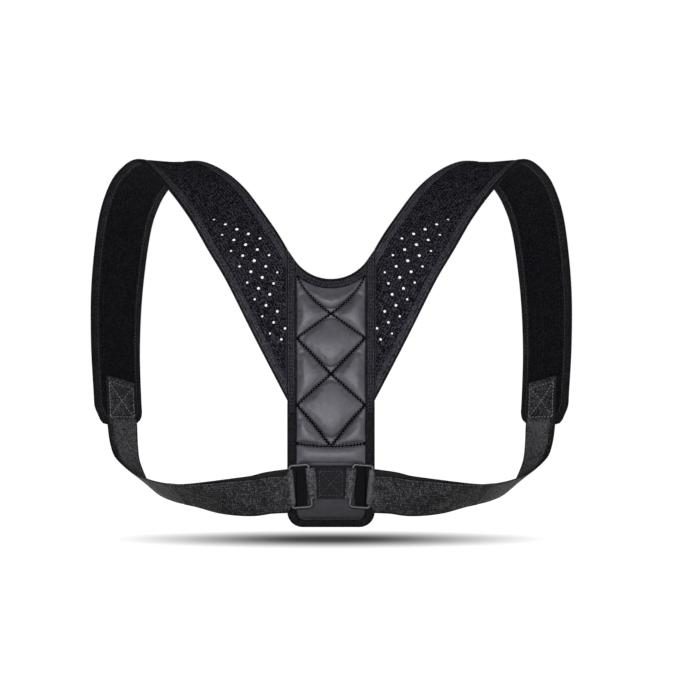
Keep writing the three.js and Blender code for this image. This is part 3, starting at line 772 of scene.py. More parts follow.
def fold_tape(name, replaced, edge, inward, width, core_thickness, place, plain=0.0):
    """A tape folded over an edge, which lies in the plane of the edged piece. Its fold is plain and
    dark, and plain says how far its outer face is so too."""
    widest = float(np.max(width))
    outline, across = tape_outline(core_thickness, widest)
    shrink = np.asarray(width) / widest * np.ones(len(edge))
    reach = outline[:, 0] * np.where(outline[:, 0] > 0, shrink[:, None], 1.0)
    spots = edge[:, None] + inward[:, None] * reach[..., None]
    rows = place(spots[..., 0], spots[..., 1], np.broadcast_to(outline[:, 1], reach.shape))
    mesh = band_mesh(name, rows, across, run_length(edge))
    face_shade = np.where(outline[:, 1] < 0, max(plain, BODY_SIDE_SHADE), plain)
    shade = np.where(outline[:, 0] < FOLD_WIDTH, FOLD_SHADE, face_shade)
    mark(mesh, "plain", np.tile(shade, len(edge)))
    return put(name, mesh, tape_black, "edge_tape", replaced)


def sew_tape(name, lines, core_thickness, place, outward, thread="grey_thread"):
    """Rows of stitches along lines of a tape, on both of its faces"""
    level = core_thickness / 2 + CLEARANCE + TAPE_THICKNESS - STITCH_SINK
    seams = []
    for line in lines:
        for face in (1, -1):
            points = place(line[:, 0], line[:, 1], np.full(len(line), face * level))
            seams.append((points, outward * face))
    return sew(name, "edge_tape", seams, thread=thread)


EDGE_STEP = 1.6
CORNER_BLEND = 8
CORNER_WINDOW = 7


def arm_edge_line():
    """Edge of the arm's core, from the root down the lateral side, round the end and back up, and
    the direction inwards for each step of 1 mm across"""
    stations = np.linspace(0, ARM_LENGTH, int(ARM_LENGTH / EDGE_STEP))
    lateral, medial = arm_edges(stations)
    end = np.linspace(lateral[-1], medial[-1], int((medial[-1] - lateral[-1]) / EDGE_STEP))[1:-1]
    station = np.concatenate([stations, np.full(len(end), ARM_LENGTH), stations[::-1]])
    a = np.concatenate([lateral, end, medial[::-1]])
    sign = np.concatenate([np.ones(len(stations)), np.zeros(len(end)), -np.ones(len(stations))])
    edge = np.stack([arm_distance(station, a), a], -1)
    near_end = station > ARM_LENGTH - LATERAL_CORNER[1] - CORNER_BLEND
    kernel = np.ones(CORNER_WINDOW) / CORNER_WINDOW
    smooth = np.stack([np.convolve(axis, kernel, "same") for axis in edge.T], -1)
    edge = np.where(near_end[:, None], smooth, edge)
    ahead = unit(np.gradient(edge, axis=0))
    square = np.stack([-ahead[:, 1], ahead[:, 0]], -1)
    slope = (arm_distance(station, a + sign * TAPE_WIDTH) - arm_distance(station, a)) / TAPE_WIDTH
    section = np.stack([slope, sign], -1)
    inward = np.where(near_end[:, None], square, section)
    return edge, inward


def arm_side(side):
    """The place function of one arm's tape"""
    return lambda p, q, height: on_arm(p, q, height, side)


arm_edge, arm_inward = arm_edge_line()
line = arm_edge + arm_inward * STITCH_INSET
for label, side in SIDES.items():
    fold_tape(
        f"{label}_arm_tape", f"{label}_arm_binding", arm_edge, arm_inward, TAPE_WIDTH,
        ARM_THICKNESS, arm_side(side),
    )
    outward = path_place(line[:, 0]).outward * (side, 1, 1)
    sew_tape(f"{label}_arm_stitches", [line], ARM_THICKNESS, arm_side(side), outward)

# Panel lining: knitted mesh on the body side of the back panel, over a thin board. The neck curve
# is an arc that runs out into the neck edges of the arms, and the lower end is a rounded tab.
NECK_RISE = 127
NECK_SLOPE = radians(55)
TAB_DROP = 131
TAB_CORNER = 16
LINING_PUFF = 0.9
LINING_PUFF_WIDTH = 10
LINING_STEP = 3.0
LINING_COLUMNS = 40
NECK_LIFT_FOOT = -20
CORNER_STEPS = 8

root_lateral, root_medial = arm_edges(np.array(0.0))


def seam_height(a):
    return float(on_place(path_place(seam_distance(np.array(a))), a, 0.0)[2])


seam_top = seam_height(float(root_medial) + TAPE_REACH)
seam_bottom = seam_height(float(root_lateral) - TAPE_REACH)
neck_climb = (seam_top - NECK_RISE) * cos(NECK_SLOPE)
neck_radius = (SEAM_X * sin(NECK_SLOPE) - neck_climb) / (1 - cos(NECK_SLOPE))


def neck_height(x, inset):
    """Height of the neck curve, moved into the panel by inset"""
    radius = neck_radius + inset
    reach = np.minimum(np.abs(x), radius * sin(NECK_SLOPE))
    arc = NECK_RISE + neck_radius - np.sqrt(radius**2 - reach**2)
    return arc + (np.abs(x) - reach) * tan(NECK_SLOPE)


def half_width(z, half, bottom, corner):
    """Half width of a plate with rounded lower corners"""
    fall = corner - np.clip(z - bottom, 0, corner)
    return half - corner + np.sqrt(corner**2 - fall**2)


def plate_levels(top, bottom, corner, step):
    """Heights from top to bottom, closer together round the lower corners"""
    plain = np.linspace(top, bottom + corner, int((top - bottom - corner) / step))
    turn = np.linspace(0, pi / 2, CORNER_STEPS + 1)[1:]
    return np.concatenate([plain, bottom + corner - corner * np.sin(turn)])


lining_bottom = TAPE_REACH - TAB_DROP
lining_corner = TAB_CORNER - TAPE_REACH
levels = plate_levels(NECK_RISE, lining_bottom, lining_corner, LINING_STEP)[:, None]
u = np.linspace(-1, 1, LINING_COLUMNS + 1)
x = u * half_width(levels, PANEL_CORE, lining_bottom, lining_corner)
neck = neck_height(x, TAPE_REACH)
z = levels + (neck - NECK_RISE) * fade((levels - NECK_LIFT_FOOT) / (NECK_RISE - NECK_LIFT_FOOT))
edge = np.minimum(PANEL_CORE - np.abs(x), np.minimum(z - lining_bottom, neck - z))
puff = LINING_PUFF * fade((edge - TAPE_WIDTH + PUFF_UNDER_TAPE) / LINING_PUFF_WIDTH)
body_side = np.stack([x, puff, z], -1)
pad_side = np.stack([x, np.full(x.shape, -PANEL_THICKNESS), z], -1)
rows = np.concatenate([body_side, pad_side[:, ::-1]], axis=1)
mesh = band_mesh("panel_lining", rows, there_and_back(x), there_and_back(z))
mark(mesh, "plain", np.ones(len(mesh.vertices)))
lining = put("panel_lining", mesh, knit, "knitted_mesh", "back_panel")


def on_panel(x, z, height):
    return np.stack([x, -PANEL_THICKNESS / 2 - height, z], -1)


# Neck tape and tab tape: the same folded tape on the edges of the panel, the one along the neck
# curve and the other down the sides and round the tab.
TAB_TAPE_WIDTH = 6.5
NECK_TAPE_SHADE = 0.45
TAB_TAPE_SHADE = 0.85
NECK_STITCH_INSETS = (3.0, 6.4)
NECK_STEPS = 60
SIDE_STEPS = 59
TAB_CORNER_POINTS = 12
TAB_FOOT_STEPS = 19
BACKWARDS = np.array((0.0, -1.0, 0.0))
x = np.linspace(PANEL_CORE, -PANEL_CORE, NECK_STEPS + 1)
edge = np.stack([x, neck_height(x, TAPE_REACH)], -1)
down = (neck_height(x, TAPE_REACH + TAPE_WIDTH) - edge[:, 1]) / TAPE_WIDTH
inward = np.stack([np.zeros(len(x)), down], -1)
fold_tape(
    "neck_tape", "neck_binding", edge, inward, TAPE_WIDTH, PANEL_THICKNESS, on_panel, NECK_TAPE_SHADE
)
lines = [edge + inward * inset for inset in NECK_STITCH_INSETS]
sew_tape("neck_stitches", lines, PANEL_THICKNESS, on_panel, BACKWARDS)

turn = np.linspace(0, pi / 2, TAB_CORNER_POINTS)
turn_x = PANEL_WIDTH / 2 - TAB_CORNER
turn_z = TAB_CORNER - TAB_DROP
straight = np.linspace(seam_bottom - CLEARANCE, turn_z, SIDE_STEPS + 1)[:-1]
right_x = np.concatenate([np.full(SIDE_STEPS, PANEL_CORE), turn_x + lining_corner * np.cos(turn)])
right_z = np.concatenate([straight, turn_z - lining_corner * np.sin(turn)])
base = np.linspace(-1, 1, TAB_FOOT_STEPS + 1)[1:-1] * turn_x
edge = np.stack([
    np.concatenate([-right_x, base, right_x[::-1]]),
    np.concatenate([right_z, np.full(len(base), right_z[-1]), right_z[::-1]]),
], -1)
ahead = unit(np.gradient(edge, axis=0))
inward = np.stack([-ahead[:, 1], ahead[:, 0]], -1)
width = TAPE_WIDTH + (TAB_TAPE_WIDTH - TAPE_WIDTH) * np.abs(inward[:, 1])
fold_tape("tab_tape", "tab_binding", edge, inward, width, PANEL_THICKNESS, on_panel, TAB_TAPE_SHADE)
lines = [edge + inward * (width * STITCH_INSET / TAPE_WIDTH)[:, None]]
sew_tape("tab_stitches", lines, PANEL_THICKNESS, on_panel, BACKWARDS, thread="black_thread")

# Seam strips: a thick ribbed tape over each seam between the panel and an arm, sewn down with two
# rows of stitches in its grooves. Its ends run out on the tapes of the neck and of the tab.
STRIP_HEIGHT = 2.3
STRIP_LAP = 2
STRIP_RIBS = 4
RIB_DEPTH = 0.9
GROOVE_SHADE = 1.0
STRIP_TAPER = 16
STRIP_OVERRUN = 12
STRIP_STEPS = 120
STRIP_COLUMNS = 36
STRIP_EDGE_POWER = 6
STRIP_LEAST = 0.15
STRIP_GATHER = 0.12
STRIP_HEAD_INSET = 0.7
STRIP_HEAD_LENGTH = 6
STRIP_TUCK_POWER = 0.4
STRIP_GROOVES = (0.375, 0.625)
STRIP_THREAD_LIFT = 0.1
STRIP_SEAM_STEPS = 60
strip_inner = PANEL_CORE - TAPE_WIDTH
strip_outer = SEAM_X + STRIP_LAP
strip_end = PANEL_WIDTH / 2 - 0.2
strip_base = PANEL_THICKNESS + CLEARANCE
strip_lap_base = PANEL_THICKNESS + TAPE_REACH + CLEARANCE


def strip_spot(share, z):
    """Place across and height of the strip's underside and face, at a share of its width and at z"""
    outer = strip_end + (strip_outer - strip_end) * fade((z - seam_bottom) / STRIP_TAPER)
    x = strip_inner + (outer - strip_inner) * share
    on_neck = z > neck_height(x, TAPE_REACH + TAPE_WIDTH + CLEARANCE)
    base = np.where((x > PANEL_CORE) | (z < seam_bottom) | on_neck, strip_lap_base, strip_base)
    ribs = RIB_DEPTH * (0.5 + 0.5 * np.cos(2 * pi * STRIP_RIBS * (share - 0.5)))
    rounded = np.sqrt(np.clip(1 - np.abs(2 * share - 1) ** STRIP_EDGE_POWER, 0, 1))
    rise = fade((z - seam_bottom + STRIP_OVERRUN) / STRIP_OVERRUN)
    rise = rise * fade((neck_height(x, STRIP_HEAD_INSET) - z) / STRIP_HEAD_LENGTH)
    face = strip_base + (STRIP_HEIGHT - RIB_DEPTH + ribs) * rounded * rise
    fold_reach = TAPE_FOLD_START + TAPE_REACH
    bend = np.clip(1 - (neck_height(x, 0) - z) * cos(NECK_SLOPE) / fold_reach, 0, 1)
    tuck = (PANEL_THICKNESS / 2 + TAPE_REACH) * (1 - (1 - bend**2) ** STRIP_TUCK_POWER)
    return x, base - tuck, np.maximum(face, base + STRIP_LEAST) - tuck


for label, side in SIDES.items():
    share = np.linspace(0, 1, STRIP_COLUMNS)
    full = strip_inner + (strip_outer - strip_inner) * share
    top = neck_height(full, STRIP_HEAD_INSET)
    foot = seam_bottom - STRIP_OVERRUN
    z = foot + (top - foot) * np.linspace(0, 1, STRIP_STEPS)[:, None]
    x, base, face = strip_spot(share, z)
    gather = STRIP_GATHER * np.sin(z * 2 * pi / STITCH_PITCH)
    outer = np.stack([x * side, -face - gather * (face > base + 0.5), z], -1)
    under = np.stack([x * side, -base, z], -1)
    rows = np.concatenate([outer, under[:, ::-1]], axis=1)
    ribbing = ((share - 0.5) * STRIP_RIBS + 0.25) * RIB_PITCH
    mesh = band_mesh(f"{label}_ribbed_strip", rows, there_and_back(ribbing), z[:, 0])
    # Painted shade in the grooves between the ribs, through the mark that also makes the cloth plain.
    grooves = GROOVE_SHADE * (0.5 - 0.5 * np.cos(2 * pi * STRIP_RIBS * (share - 0.5)))
    shade = np.maximum(grooves, TAB_TAPE_SHADE * (1 - fade((z - foot) / (2 * STRIP_OVERRUN))))
    mark(mesh, "plain", np.concatenate([shade, shade[:, ::-1]], axis=1))
    put(f"{label}_ribbed_strip", mesh, tape_black, "ribbed_tape", f"{label}_seam_strip")
    seams = []
    for groove in STRIP_GROOVES:
        z = np.linspace(foot + 1, float(np.interp(groove, share, top)) - 1, STRIP_SEAM_STEPS)
        x, base, face = strip_spot(groove, z)
        seams.append((np.stack([x * side, -face - STRIP_THREAD_LIFT, z], -1), BACKWARDS))
    sew(f"{label}_strip_stitches", "ribbed_tape", seams)

# Quilted pad: satin black leatherette over foam, sewn down along crossing lines so that it swells
# into diamonds and half diamonds, gathered along the last seam. Below that it is a plain puffed
# band, and it lies flat on the tab. Air pressure in a cloth simulation swells it between its seams.
PAD_PUFF = 6
PAD_SIDE_SHARE = 0.85
PAD_BAND_PUFF = 4.5
PAD_TAB_PUFF = 0.8
NECK_RISE_LENGTH = 36
NECK_RISE_POWER = 1.2
QUILT_COLUMNS = 60
QUILT_STEPS = 30
BAND_ROWS = 20
TAB_ROWS = 30
LAST_CELL_SHARE = 0.7
LAST_CELL_RISE = 4
BAND_POWER = 0.6
TAB_PUFF_TOP = -103
TAB_PUFF_FADES = (6, 4)
SEWN_WIDTH = 3.2
SEAM_SAG = 3.0
SEAM_SAG_HEIGHT = 14
FOAM_SAG = 0.3
SWELL_POWER = 0.55
SWELL_SCALE = 10
SWELL_PRESSURE = 3.0
SWELL_FRAMES = 16
SWELL_LIMIT = 0.9
SWELL_END_ROWS = 5
SWELL_CLOTH = {
    "quality": 6,
    "mass": 0.2,
    "tension_stiffness": 12,
    "compression_stiffness": 12,
    "shear_stiffness": 6,
    "bending_stiffness": 4,
    "shrink_min": -0.02,
    "use_pressure": True,
    "uniform_pressure_force": SWELL_PRESSURE,
    "vertex_group_mass": "held",
}
PUCKER_DEPTH = 1.5
PUCKER_PITCH = 3.4
PUCKER_REACH = 3.2
PUCKER_SWAY = 1.7
PUCKER_SWAY_LENGTH = 5
PUCKER_SHIFT = 0.6

Quilt = namedtuple("Quilt", "down line")
QUILT_ROWS = {
    "neck edge": Quilt(down=0, line=1),
    "first crossing": Quilt(down=0.14, line=0),
    "first side points": Quilt(down=0.238, line=1),
    "second crossing": Quilt(down=0.383, line=0),
    "second side points": Quilt(down=0.507, line=1),
    "third crossing": Quilt(down=0.661, line=0),
}
pad_half = PANEL_CORE - TAPE_WIDTH - CLEARANCE
pad_edge = TAPE_REACH + TAB_TAPE_WIDTH + CLEARANCE
pad_bottom = pad_edge - TAB_DROP
pad_corner = TAB_CORNER - pad_edge
panel_length = NECK_RISE + TAB_DROP
band_bottom = RING_HEIGHT / 2 + CLEARANCE - RING_DROP

quilts = list(QUILT_ROWS.values())
last_seam = NECK_RISE - panel_length * quilts[-1].down
seam_row = QUILT_STEPS * (len(quilts) - 1)
band_row = seam_row + BAND_ROWS
flat_z = np.concatenate([
    NECK_RISE - panel_length * np.interp(
        np.arange(seam_row) / QUILT_STEPS, np.arange(len(quilts)), [quilt.down for quilt in quilts]
    ),
    np.linspace(last_seam, band_bottom, BAND_ROWS + 1),
    band_bottom + (pad_bottom - band_bottom) * np.sin(np.linspace(0, pi / 2, TAB_ROWS + 1))[1:],
])[:, None]
row_number = np.arange(len(flat_z))[:, None]
down = (NECK_RISE - flat_z) / panel_length
u = np.linspace(-1, 1, QUILT_COLUMNS + 1)[None]
out = np.abs(u)
pad_x = u * half_width(flat_z, pad_half, pad_bottom, pad_corner)
pad_top = neck_height(pad_x, TAPE_REACH + TAPE_WIDTH + CLEARANCE)
neck_share = np.clip(1 - row_number / QUILT_STEPS, 0, 1)
seam_sag = SEAM_SAG * (1 - u**2) * np.exp(-(((flat_z - last_seam) / SEAM_SAG_HEIGHT) ** 2))
pad_z = flat_z + (pad_top - NECK_RISE) * neck_share - seam_sag

sewn = SEWN_WIDTH / 2 / pad_half
lines = [
    before.line + (after.line - before.line) * (down - before.down) / (after.down - before.down)
    for before, after in zip(quilts, quilts[1:])
]
swell = np.zeros(pad_x.shape)


def raise_cell(first, last, share, above, below, aside=1.0):
    """Swells the rows from first to last between a cell's upper seams and its lower seams, given
    the distances from them. The foam hangs towards the lower ones."""
    inside = (down > quilts[first].down) & (down < quilts[last].down)
    room = np.maximum(above - sewn, 0) ** (1 + FOAM_SAG)
    room = room * np.maximum(below - sewn, 0) ** (1 - FOAM_SAG) * inside * aside
    np.maximum(swell, PAD_PUFF * share * (room / room.max()) ** SWELL_POWER, out=swell)


neck_room = (down * panel_length / NECK_RISE_LENGTH) ** NECK_RISE_POWER + sewn
raise_cell(0, 1, 1.0, neck_room, lines[0] ** 2 - u**2)
for n in range(len(lines) - 1):
    if quilts[n].line:
        raise_cell(n, n + 2, PAD_SIDE_SHARE, out - lines[n], out - lines[n + 1], 1 - out)
    else:
        raise_cell(n, n + 2, 1.0, lines[n] ** 2 - u**2, lines[n + 1] ** 2 - u**2)
seam_room = (quilts[-1].down - down) * LAST_CELL_RISE
raise_cell(len(lines) - 1, len(lines), LAST_CELL_SHARE, out - lines[-1], seam_room, 1 - out)

band_step = np.clip((row_number - seam_row) / BAND_ROWS, 0, 1)
band = PAD_BAND_PUFF * np.sin(pi * band_step) ** BAND_POWER * (1 - out**6)
tab = PAD_TAB_PUFF * fade((TAB_PUFF_TOP - flat_z) / TAB_PUFF_FADES[0])
tab = tab * fade((flat_z - pad_bottom) / TAB_PUFF_FADES[1]) * (1 - out**8)
swell = np.where(row_number < seam_row, swell, np.where(row_number <= band_row, band, tab))
pucker_sway = PUCKER_SWAY * np.sin(pad_x / PUCKER_SWAY_LENGTH)
puckers = 0.5 + 0.5 * np.sin(2 * pi * pad_x / PUCKER_PITCH + pucker_sway)
from_seam = pad_z - last_seam + seam_sag
puckers = puckers * np.exp(-(((from_seam - PUCKER_SHIFT) / PUCKER_REACH) ** 2)) * (1 - out**4)
pad_front = np.stack([pad_x, PAD_SEAM_Y - swell, pad_z], -1)

off_line = np.full(pad_x.shape, 9.0)
for n, line in enumerate(lines):
    rows_here = (row_number >= n * QUILT_STEPS) & (row_number <= (n + 1) * QUILT_STEPS)
    off_line = np.where(rows_here, np.minimum(off_line, np.abs(out - line)), off_line)
rim = (out == 1) | (row_number == 0) | (row_number == seam_row) | (row_number >= band_row)
held = (off_line < sewn) | rim


def grid_faces(count, around):
    """Faces of a sheet of count rows with around points each"""
    i, j = np.meshgrid(np.arange(count - 1), np.arange(around - 1), indexing="ij")
    corner = (i * around + j).ravel()
    return np.stack([corner, corner + around, corner + around + 1, corner + 1], -1)


def swell_pad(front, held):
    """Lets air pressure fill the cloth between the held lines, at a larger scale"""
    count, around = front.shape[:2]
    points = front.reshape(-1, 3) * MM * SWELL_SCALE
    mesh = bpy.data.meshes.new("swelling_pad")
    mesh.from_pydata(points.tolist(), [], grid_faces(count, around).tolist())
    made = bpy.data.objects.new("swelling_pad", mesh)
    scene.collection.objects.link(made)
    pins = made.vertex_groups.new(name="held")
    pins.add([int(n) for n in np.flatnonzero(held.ravel())], 1.0, "REPLACE")
    cloth = made.modifiers.new("cloth", "CLOTH")
    for name, value in SWELL_CLOTH.items():
        setattr(cloth.settings, name, value)
    cloth.settings.effector_weights.gravity = 0
    cloth.collision_settings.use_self_collision = False
    cloth.point_cache.frame_start = 1
    cloth.point_cache.frame_end = SWELL_FRAMES
    for number in range(1, SWELL_FRAMES + 1):
        scene.frame_set(number)
    bpy.context.view_layer.objects.active = made
    bpy.ops.object.modifier_apply(modifier=cloth.name)
    places = np.empty(len(mesh.vertices) * 3)
    mesh.vertices.foreach_get("co", places)
    bpy.data.objects.remove(made)
    scene.frame_set(1)
    moved = places.reshape(front.shape) / (MM * SWELL_SCALE) - front
    moved = moved * fade((seam_row - np.arange(count)) / SWELL_END_ROWS)[:, None, None]
    for _ in range(2):
        aside = np.roll(moved, 1, axis=1) + np.roll(moved, -1, axis=1)
        moved = (2 * moved + np.roll(moved, 1, axis=0) + np.roll(moved, -1, axis=0) + aside) / 6
    size = np.linalg.norm(moved, axis=-1, keepdims=True)
    return front + moved * np.minimum(1, SWELL_LIMIT / np.maximum(size, 1e-9))


pad_front = swell_pad(pad_front, held)
pad_front[..., 1] -= PUCKER_DEPTH * puckers

# Leatherette: fine pebbled grain and creases under a satin coat. In the seams and behind the rings the
# coat is taken off and the colour darkened as painted shade; on the tab it is darker with less coat.
GRAIN_SCALE = 900.0
CREASE_SCALE = 190.0
STAIN_SCALE = 40.0
LEATHER_DARK = (0.001, 0.001, 0.0013)
LEATHER_PALE = (0.05, 0.0478, 0.0563)
SEAM_SHADE = 0.97
SEAM_WIDTH = 2.7
GATHER_WIDTH = 2.3
SLOT_START = 22
SLOT_FOOT = -112
SLOT_FADES = (2.5, 3)
HOLDER_SHADOW = 2
SLOT_SHADE = 0.95
TAB_SHADE = 0.665
leather, wires, shader = new_material("leatherette")
grain = wires.node("TexVoronoi", {"feature": "SMOOTH_F1"}, {"Vector": wires.place(), "Scale": GRAIN_SCALE})
creases = wires.noise(CREASE_SCALE, 5.0, roughness=0.6)
stains = wires.noise(STAIN_SCALE, 3.0)
relief = grain * 0.4 + creases * 0.6
# These marks darken the colour and take off the coat: painted shade in the seams and behind the rings; on
# the tab only darker.
shine = (1 - wires.marked("seam").step(0.0, 0.8)) * (1 - wires.marked("slot_shade_and_flat_tab"))
shade = ((stains * 0.5 + creases * 0.4 + 0.2) * shine).step(0.0, 0.9)
connect(
    wires, shader,
    Base_Color=shade.mix(LEATHER_DARK, LEATHER_PALE),
    Roughness=0.95 - shine * 0.5 + stains * 0.05,
    Coat_Weight=shine * (0.55 + creases * 0.5),
    Coat_Roughness=0.5,
    Coat_IOR=1.65,
    Specular_IOR_Level=0.04,
    Normal=bump(wires, relief, 0.45),
)

faces = grid_faces(*pad_x.shape)
cloth = np.stack([pad_x, pad_z], -1).reshape(-1, 2)
mesh = make_mesh("leatherette_pad", pad_front.reshape(-1, 3), faces, cloth[faces])
# Painted shade along the quilting seams and the gathered seam, lighter on the tops of the puckers.
seam_shade = SEAM_SHADE * np.exp(-((off_line * pad_half / SEAM_WIDTH) ** 2))
gathered = np.exp(-((from_seam / GATHER_WIDTH) ** 2)) * (0.9 - 0.5 * puckers)
mark(mesh, "seam", np.maximum(seam_shade, gathered))
# Painted shade in the slots behind the rings and under the holder; on the tab the leather is only made
# darker, with less coat.
beside_holder = fade((np.abs(pad_x) - SLOT_START) / SLOT_FADES[0])
beside_holder = beside_holder * fade((flat_z - SLOT_FOOT) / SLOT_FADES[1])
above_holder = fade((flat_z + RING_DROP - WEBBING_WIDTH / 2 + HOLDER_SHADOW) / HOLDER_SHADOW)
in_slot = np.maximum(beside_holder, above_holder) * (row_number > band_row)
on_tab = fade((row_number - band_row) / 2)
mark(mesh, "slot_shade_and_flat_tab", np.maximum(in_slot * SLOT_SHADE, on_tab * TAB_SHADE))
pad = put("leatherette_pad", mesh, leather, "leatherette", "quilted_pad")
smoothing = pad.modifiers.new("smooth", "SUBSURF")
smoothing.levels = 1
smoothing.render_levels = 1
bpy.ops.object.select_all(action="DESELECT")
pad.select_set(True)
bpy.context.view_layer.objects.active = pad
bpy.ops.object.modifier_apply(modifier=smoothing.name)

# The pad's flat back, on the panel: the sheet's rim is drawn back to it and closed.
bpy.ops.object.mode_set(mode="EDIT")
bpy.ops.mesh.select_mode(type="EDGE")
bpy.ops.mesh.select_all(action="DESELECT")
bpy.ops.mesh.select_non_manifold()
bpy.ops.mesh.extrude_edges_move()
bpy.ops.transform.resize(value=(1, 0, 1))
bpy.ops.mesh.edge_face_add()
bpy.ops.object.mode_set(mode="OBJECT")
for vertex in pad.data.vertices:
    if vertex.select:
        vertex.co.y = -(PANEL_THICKNESS + CLEARANCE) * MM
pad.data.update()


def pad_spot(row, column):
    """Point of the pad's face between its rows and columns"""
    i = np.clip(row.astype(int), 0, len(pad_x) - 2)
    j = np.clip(column.astype(int), 0, QUILT_COLUMNS - 1)
    x = (row - i)[:, None]
    y = (column - j)[:, None]
    upper = pad_front[i, j] * (1 - y) + pad_front[i, j + 1] * y
    lower = pad_front[i + 1, j] * (1 - y) + pad_front[i + 1, j + 1] * y
    return upper * (1 - x) + lower * x


STITCH_LIFT = 0.45
STITCHED_SHARE = (0.04, 0.96)
BAND_STITCH_ROWS = (-0.6, 1.3)
BAND_STITCH_INSET = 1.5
seams = []
step = np.linspace(*STITCHED_SHARE, 2 * QUILT_STEPS)
for n, (before, after) in enumerate(zip(quilts, quilts[1:])):
    for side in (-1, 1):
        for shift in (-sewn, sewn):
            line = before.line + (after.line - before.line) * step + shift
            points = pad_spot((n + step) * QUILT_STEPS, QUILT_COLUMNS / 2 * (1 + side * line))
            seams.append((points + BACKWARDS * STITCH_LIFT, BACKWARDS))
column = np.linspace(BAND_STITCH_INSET, QUILT_COLUMNS - BAND_STITCH_INSET, QUILT_COLUMNS)
for shift in BAND_STITCH_ROWS:
    points = pad_spot(np.full(QUILT_COLUMNS, seam_row + shift), column)
    seams.append((points + BACKWARDS * STITCH_LIFT, BACKWARDS))
sew(
    "quilting_stitches", "leatherette", seams,
    thread="quilting_thread", pitch=3.3, length=1.9, radius=0.4,
)

# Rings: polished black rectangular rings, made from one round wire, with tight corners.
RING_CORNER = 3
CORNER_POINTS = 9
WIRE_SIDES = 20
SMUDGE_SCALE = 120.0
ring_gloss, wires, shader = new_material("ring_plastic")
smudges = wires.noise(SMUDGE_SCALE, 4.0)
connect(
    wires, shader,
    Base_Color=smudges.mix((0.004, 0.004, 0.005), (0.012, 0.012, 0.014)),
    Roughness=smudges * 0.14 + 0.2,
    Coat_Weight=0.15,
    Normal=bump(wires, smudges, 0.02),
)

angles = np.arange(WIRE_SIDES) * 2 * pi / WIRE_SIDES
half_x = (RING_WIDTH - RING_WIRE) / 2 - RING_CORNER
half_z = (RING_HEIGHT - RING_WIRE) / 2 - RING_CORNER
for label, side in SIDES.items():
    rows = []
    for corner, (sx, sz) in enumerate([(1, 1), (-1, 1), (-1, -1), (1, -1)]):
        for turn in np.linspace(corner, corner + 1, CORNER_POINTS) * pi / 2:
            radius = RING_CORNER + RING_WIRE / 2 * np.cos(angles)
            x = sx * half_x + radius * cos(turn)
            z = sz * half_z + radius * sin(turn)
            y = RING_WIRE / 2 * np.sin(angles)
            turned_x = x * cos(RING_TILT) + z * sin(RING_TILT)
            turned_z = z * cos(RING_TILT) - x * sin(RING_TILT)
            rows.append(np.stack([side * (RING_X + turned_x), RING_Y + y, turned_z - RING_DROP], -1))
    along = np.arange(float(len(rows)))
    mesh = band_mesh(f"{label}_wire_ring", np.array(rows), np.arange(WIRE_SIDES + 1.0), along, closed=True)
    put(f"{label}_wire_ring", mesh, ring_gloss, "ring_plastic", f"{label}_ring")

# Straps: black woven webbing, sewn on the inner face of each arm's end under a crossed box, run
# under the arm to its ring, round the ring's outer bar and folded back on itself.
PATCH_LENGTH = 48
PATCH_SLANT = radians(16)
PATCH_SHIFT = 2
BAR_TURN_LENGTH = 60
FOLD_BACK_LENGTH = 134
FOLD_BACK_DROP = 7.5
FOLD_BACK_DROP_LENGTH = 5
FOLD_BACK_LIFT = 3.6
FOLD_BACK_LIFT_LENGTH = 45
FOLD_BACK_CLOSE_LENGTH = 45
LAYER_GAP = 0.6
FOLD_BACK_DROP_POWER = 1.5
STRAP_STEP = 2.0
STRAP_COLUMNS = 22
BAR_STEPS = 17
HEM_LENGTH = 11
HEM_SWELL = 0.35
EDGE_LEAST = 0.04
STRAP_EDGE_POWER = 16
COLUMN_SPREAD = 0.75

TWILL_PITCH = 2.6
TWILL_SWAY = 3.0
STRAND_SCALE = 460.0
SHEEN_SCALE = 60.0
WEBBING_BLACK = (0.0008, 0.0008, 0.001)
WEBBING_PALE = (0.085, 0.082, 0.085)
webbing, wires, shader = new_material("webbing")
u, v = wires.cloth()
ribs = u.wave(TWILL_PITCH)
zigzag = v.wave(TWILL_PITCH, u.wave(4 * TWILL_PITCH) * TWILL_SWAY)
fibres = wires.noise(STRAND_SCALE, 3.0)
sheen = wires.noise(SHEEN_SCALE, 2.0)
height = ribs * 0.08 + zigzag * 0.12 + fibres * 1.8 - 0.475
# The mark read here brings wear, painted highlights and painted shade into the webbing's colour.
shade = (height + sheen * 0.6 + wires.marked("wear_and_painted_light") * 0.5 - 0.28).step(0.22, 1.3)
connect(
    wires, shader,
    Base_Color=shade.mix(WEBBING_BLACK, WEBBING_PALE),
    Roughness=0.75 - fibres * 0.2,
    Specular_IOR_Level=0.2,
    Normal=bump(wires, height, 0.5),
)


strap_start = seam_centre + ARM_LENGTH - PATCH_LENGTH
ring_place = path_place(np.array(path_length))
bar_axis = np.array([-sin(RING_TILT), 0, -cos(RING_TILT)])
bar_slope = float(bar_axis @ ring_place.along / (bar_axis @ ring_place.across))


def strap_place(distance):
    """Place of the webbing, slanted at the patch and parallel to the bar at the ring"""
    place = path_place(distance)
    patch = 1 - fade((distance - strap_start) / PATCH_LENGTH)
    ring = 1 - fade((path_length - distance) / BAR_TURN_LENGTH)
    slope = tan(PATCH_SLANT) * patch + bar_slope * ring
    shift = PATCH_SHIFT * (1 - fade((distance - strap_start - PATCH_LENGTH) / PATCH_LENGTH))
    centre = place.centre + place.across * np.asarray(shift)[..., None]
    across = place.across + place.along * np.asarray(slope)[..., None]
    return Place(centre, place.along, across, place.outward)


def webbing_edge(share, power):
    """Share of its thickness that webbing has across its width, rounded at both edges"""
    return np.sqrt(np.clip(1 - np.abs(share) ** power, EDGE_LEAST, 1))


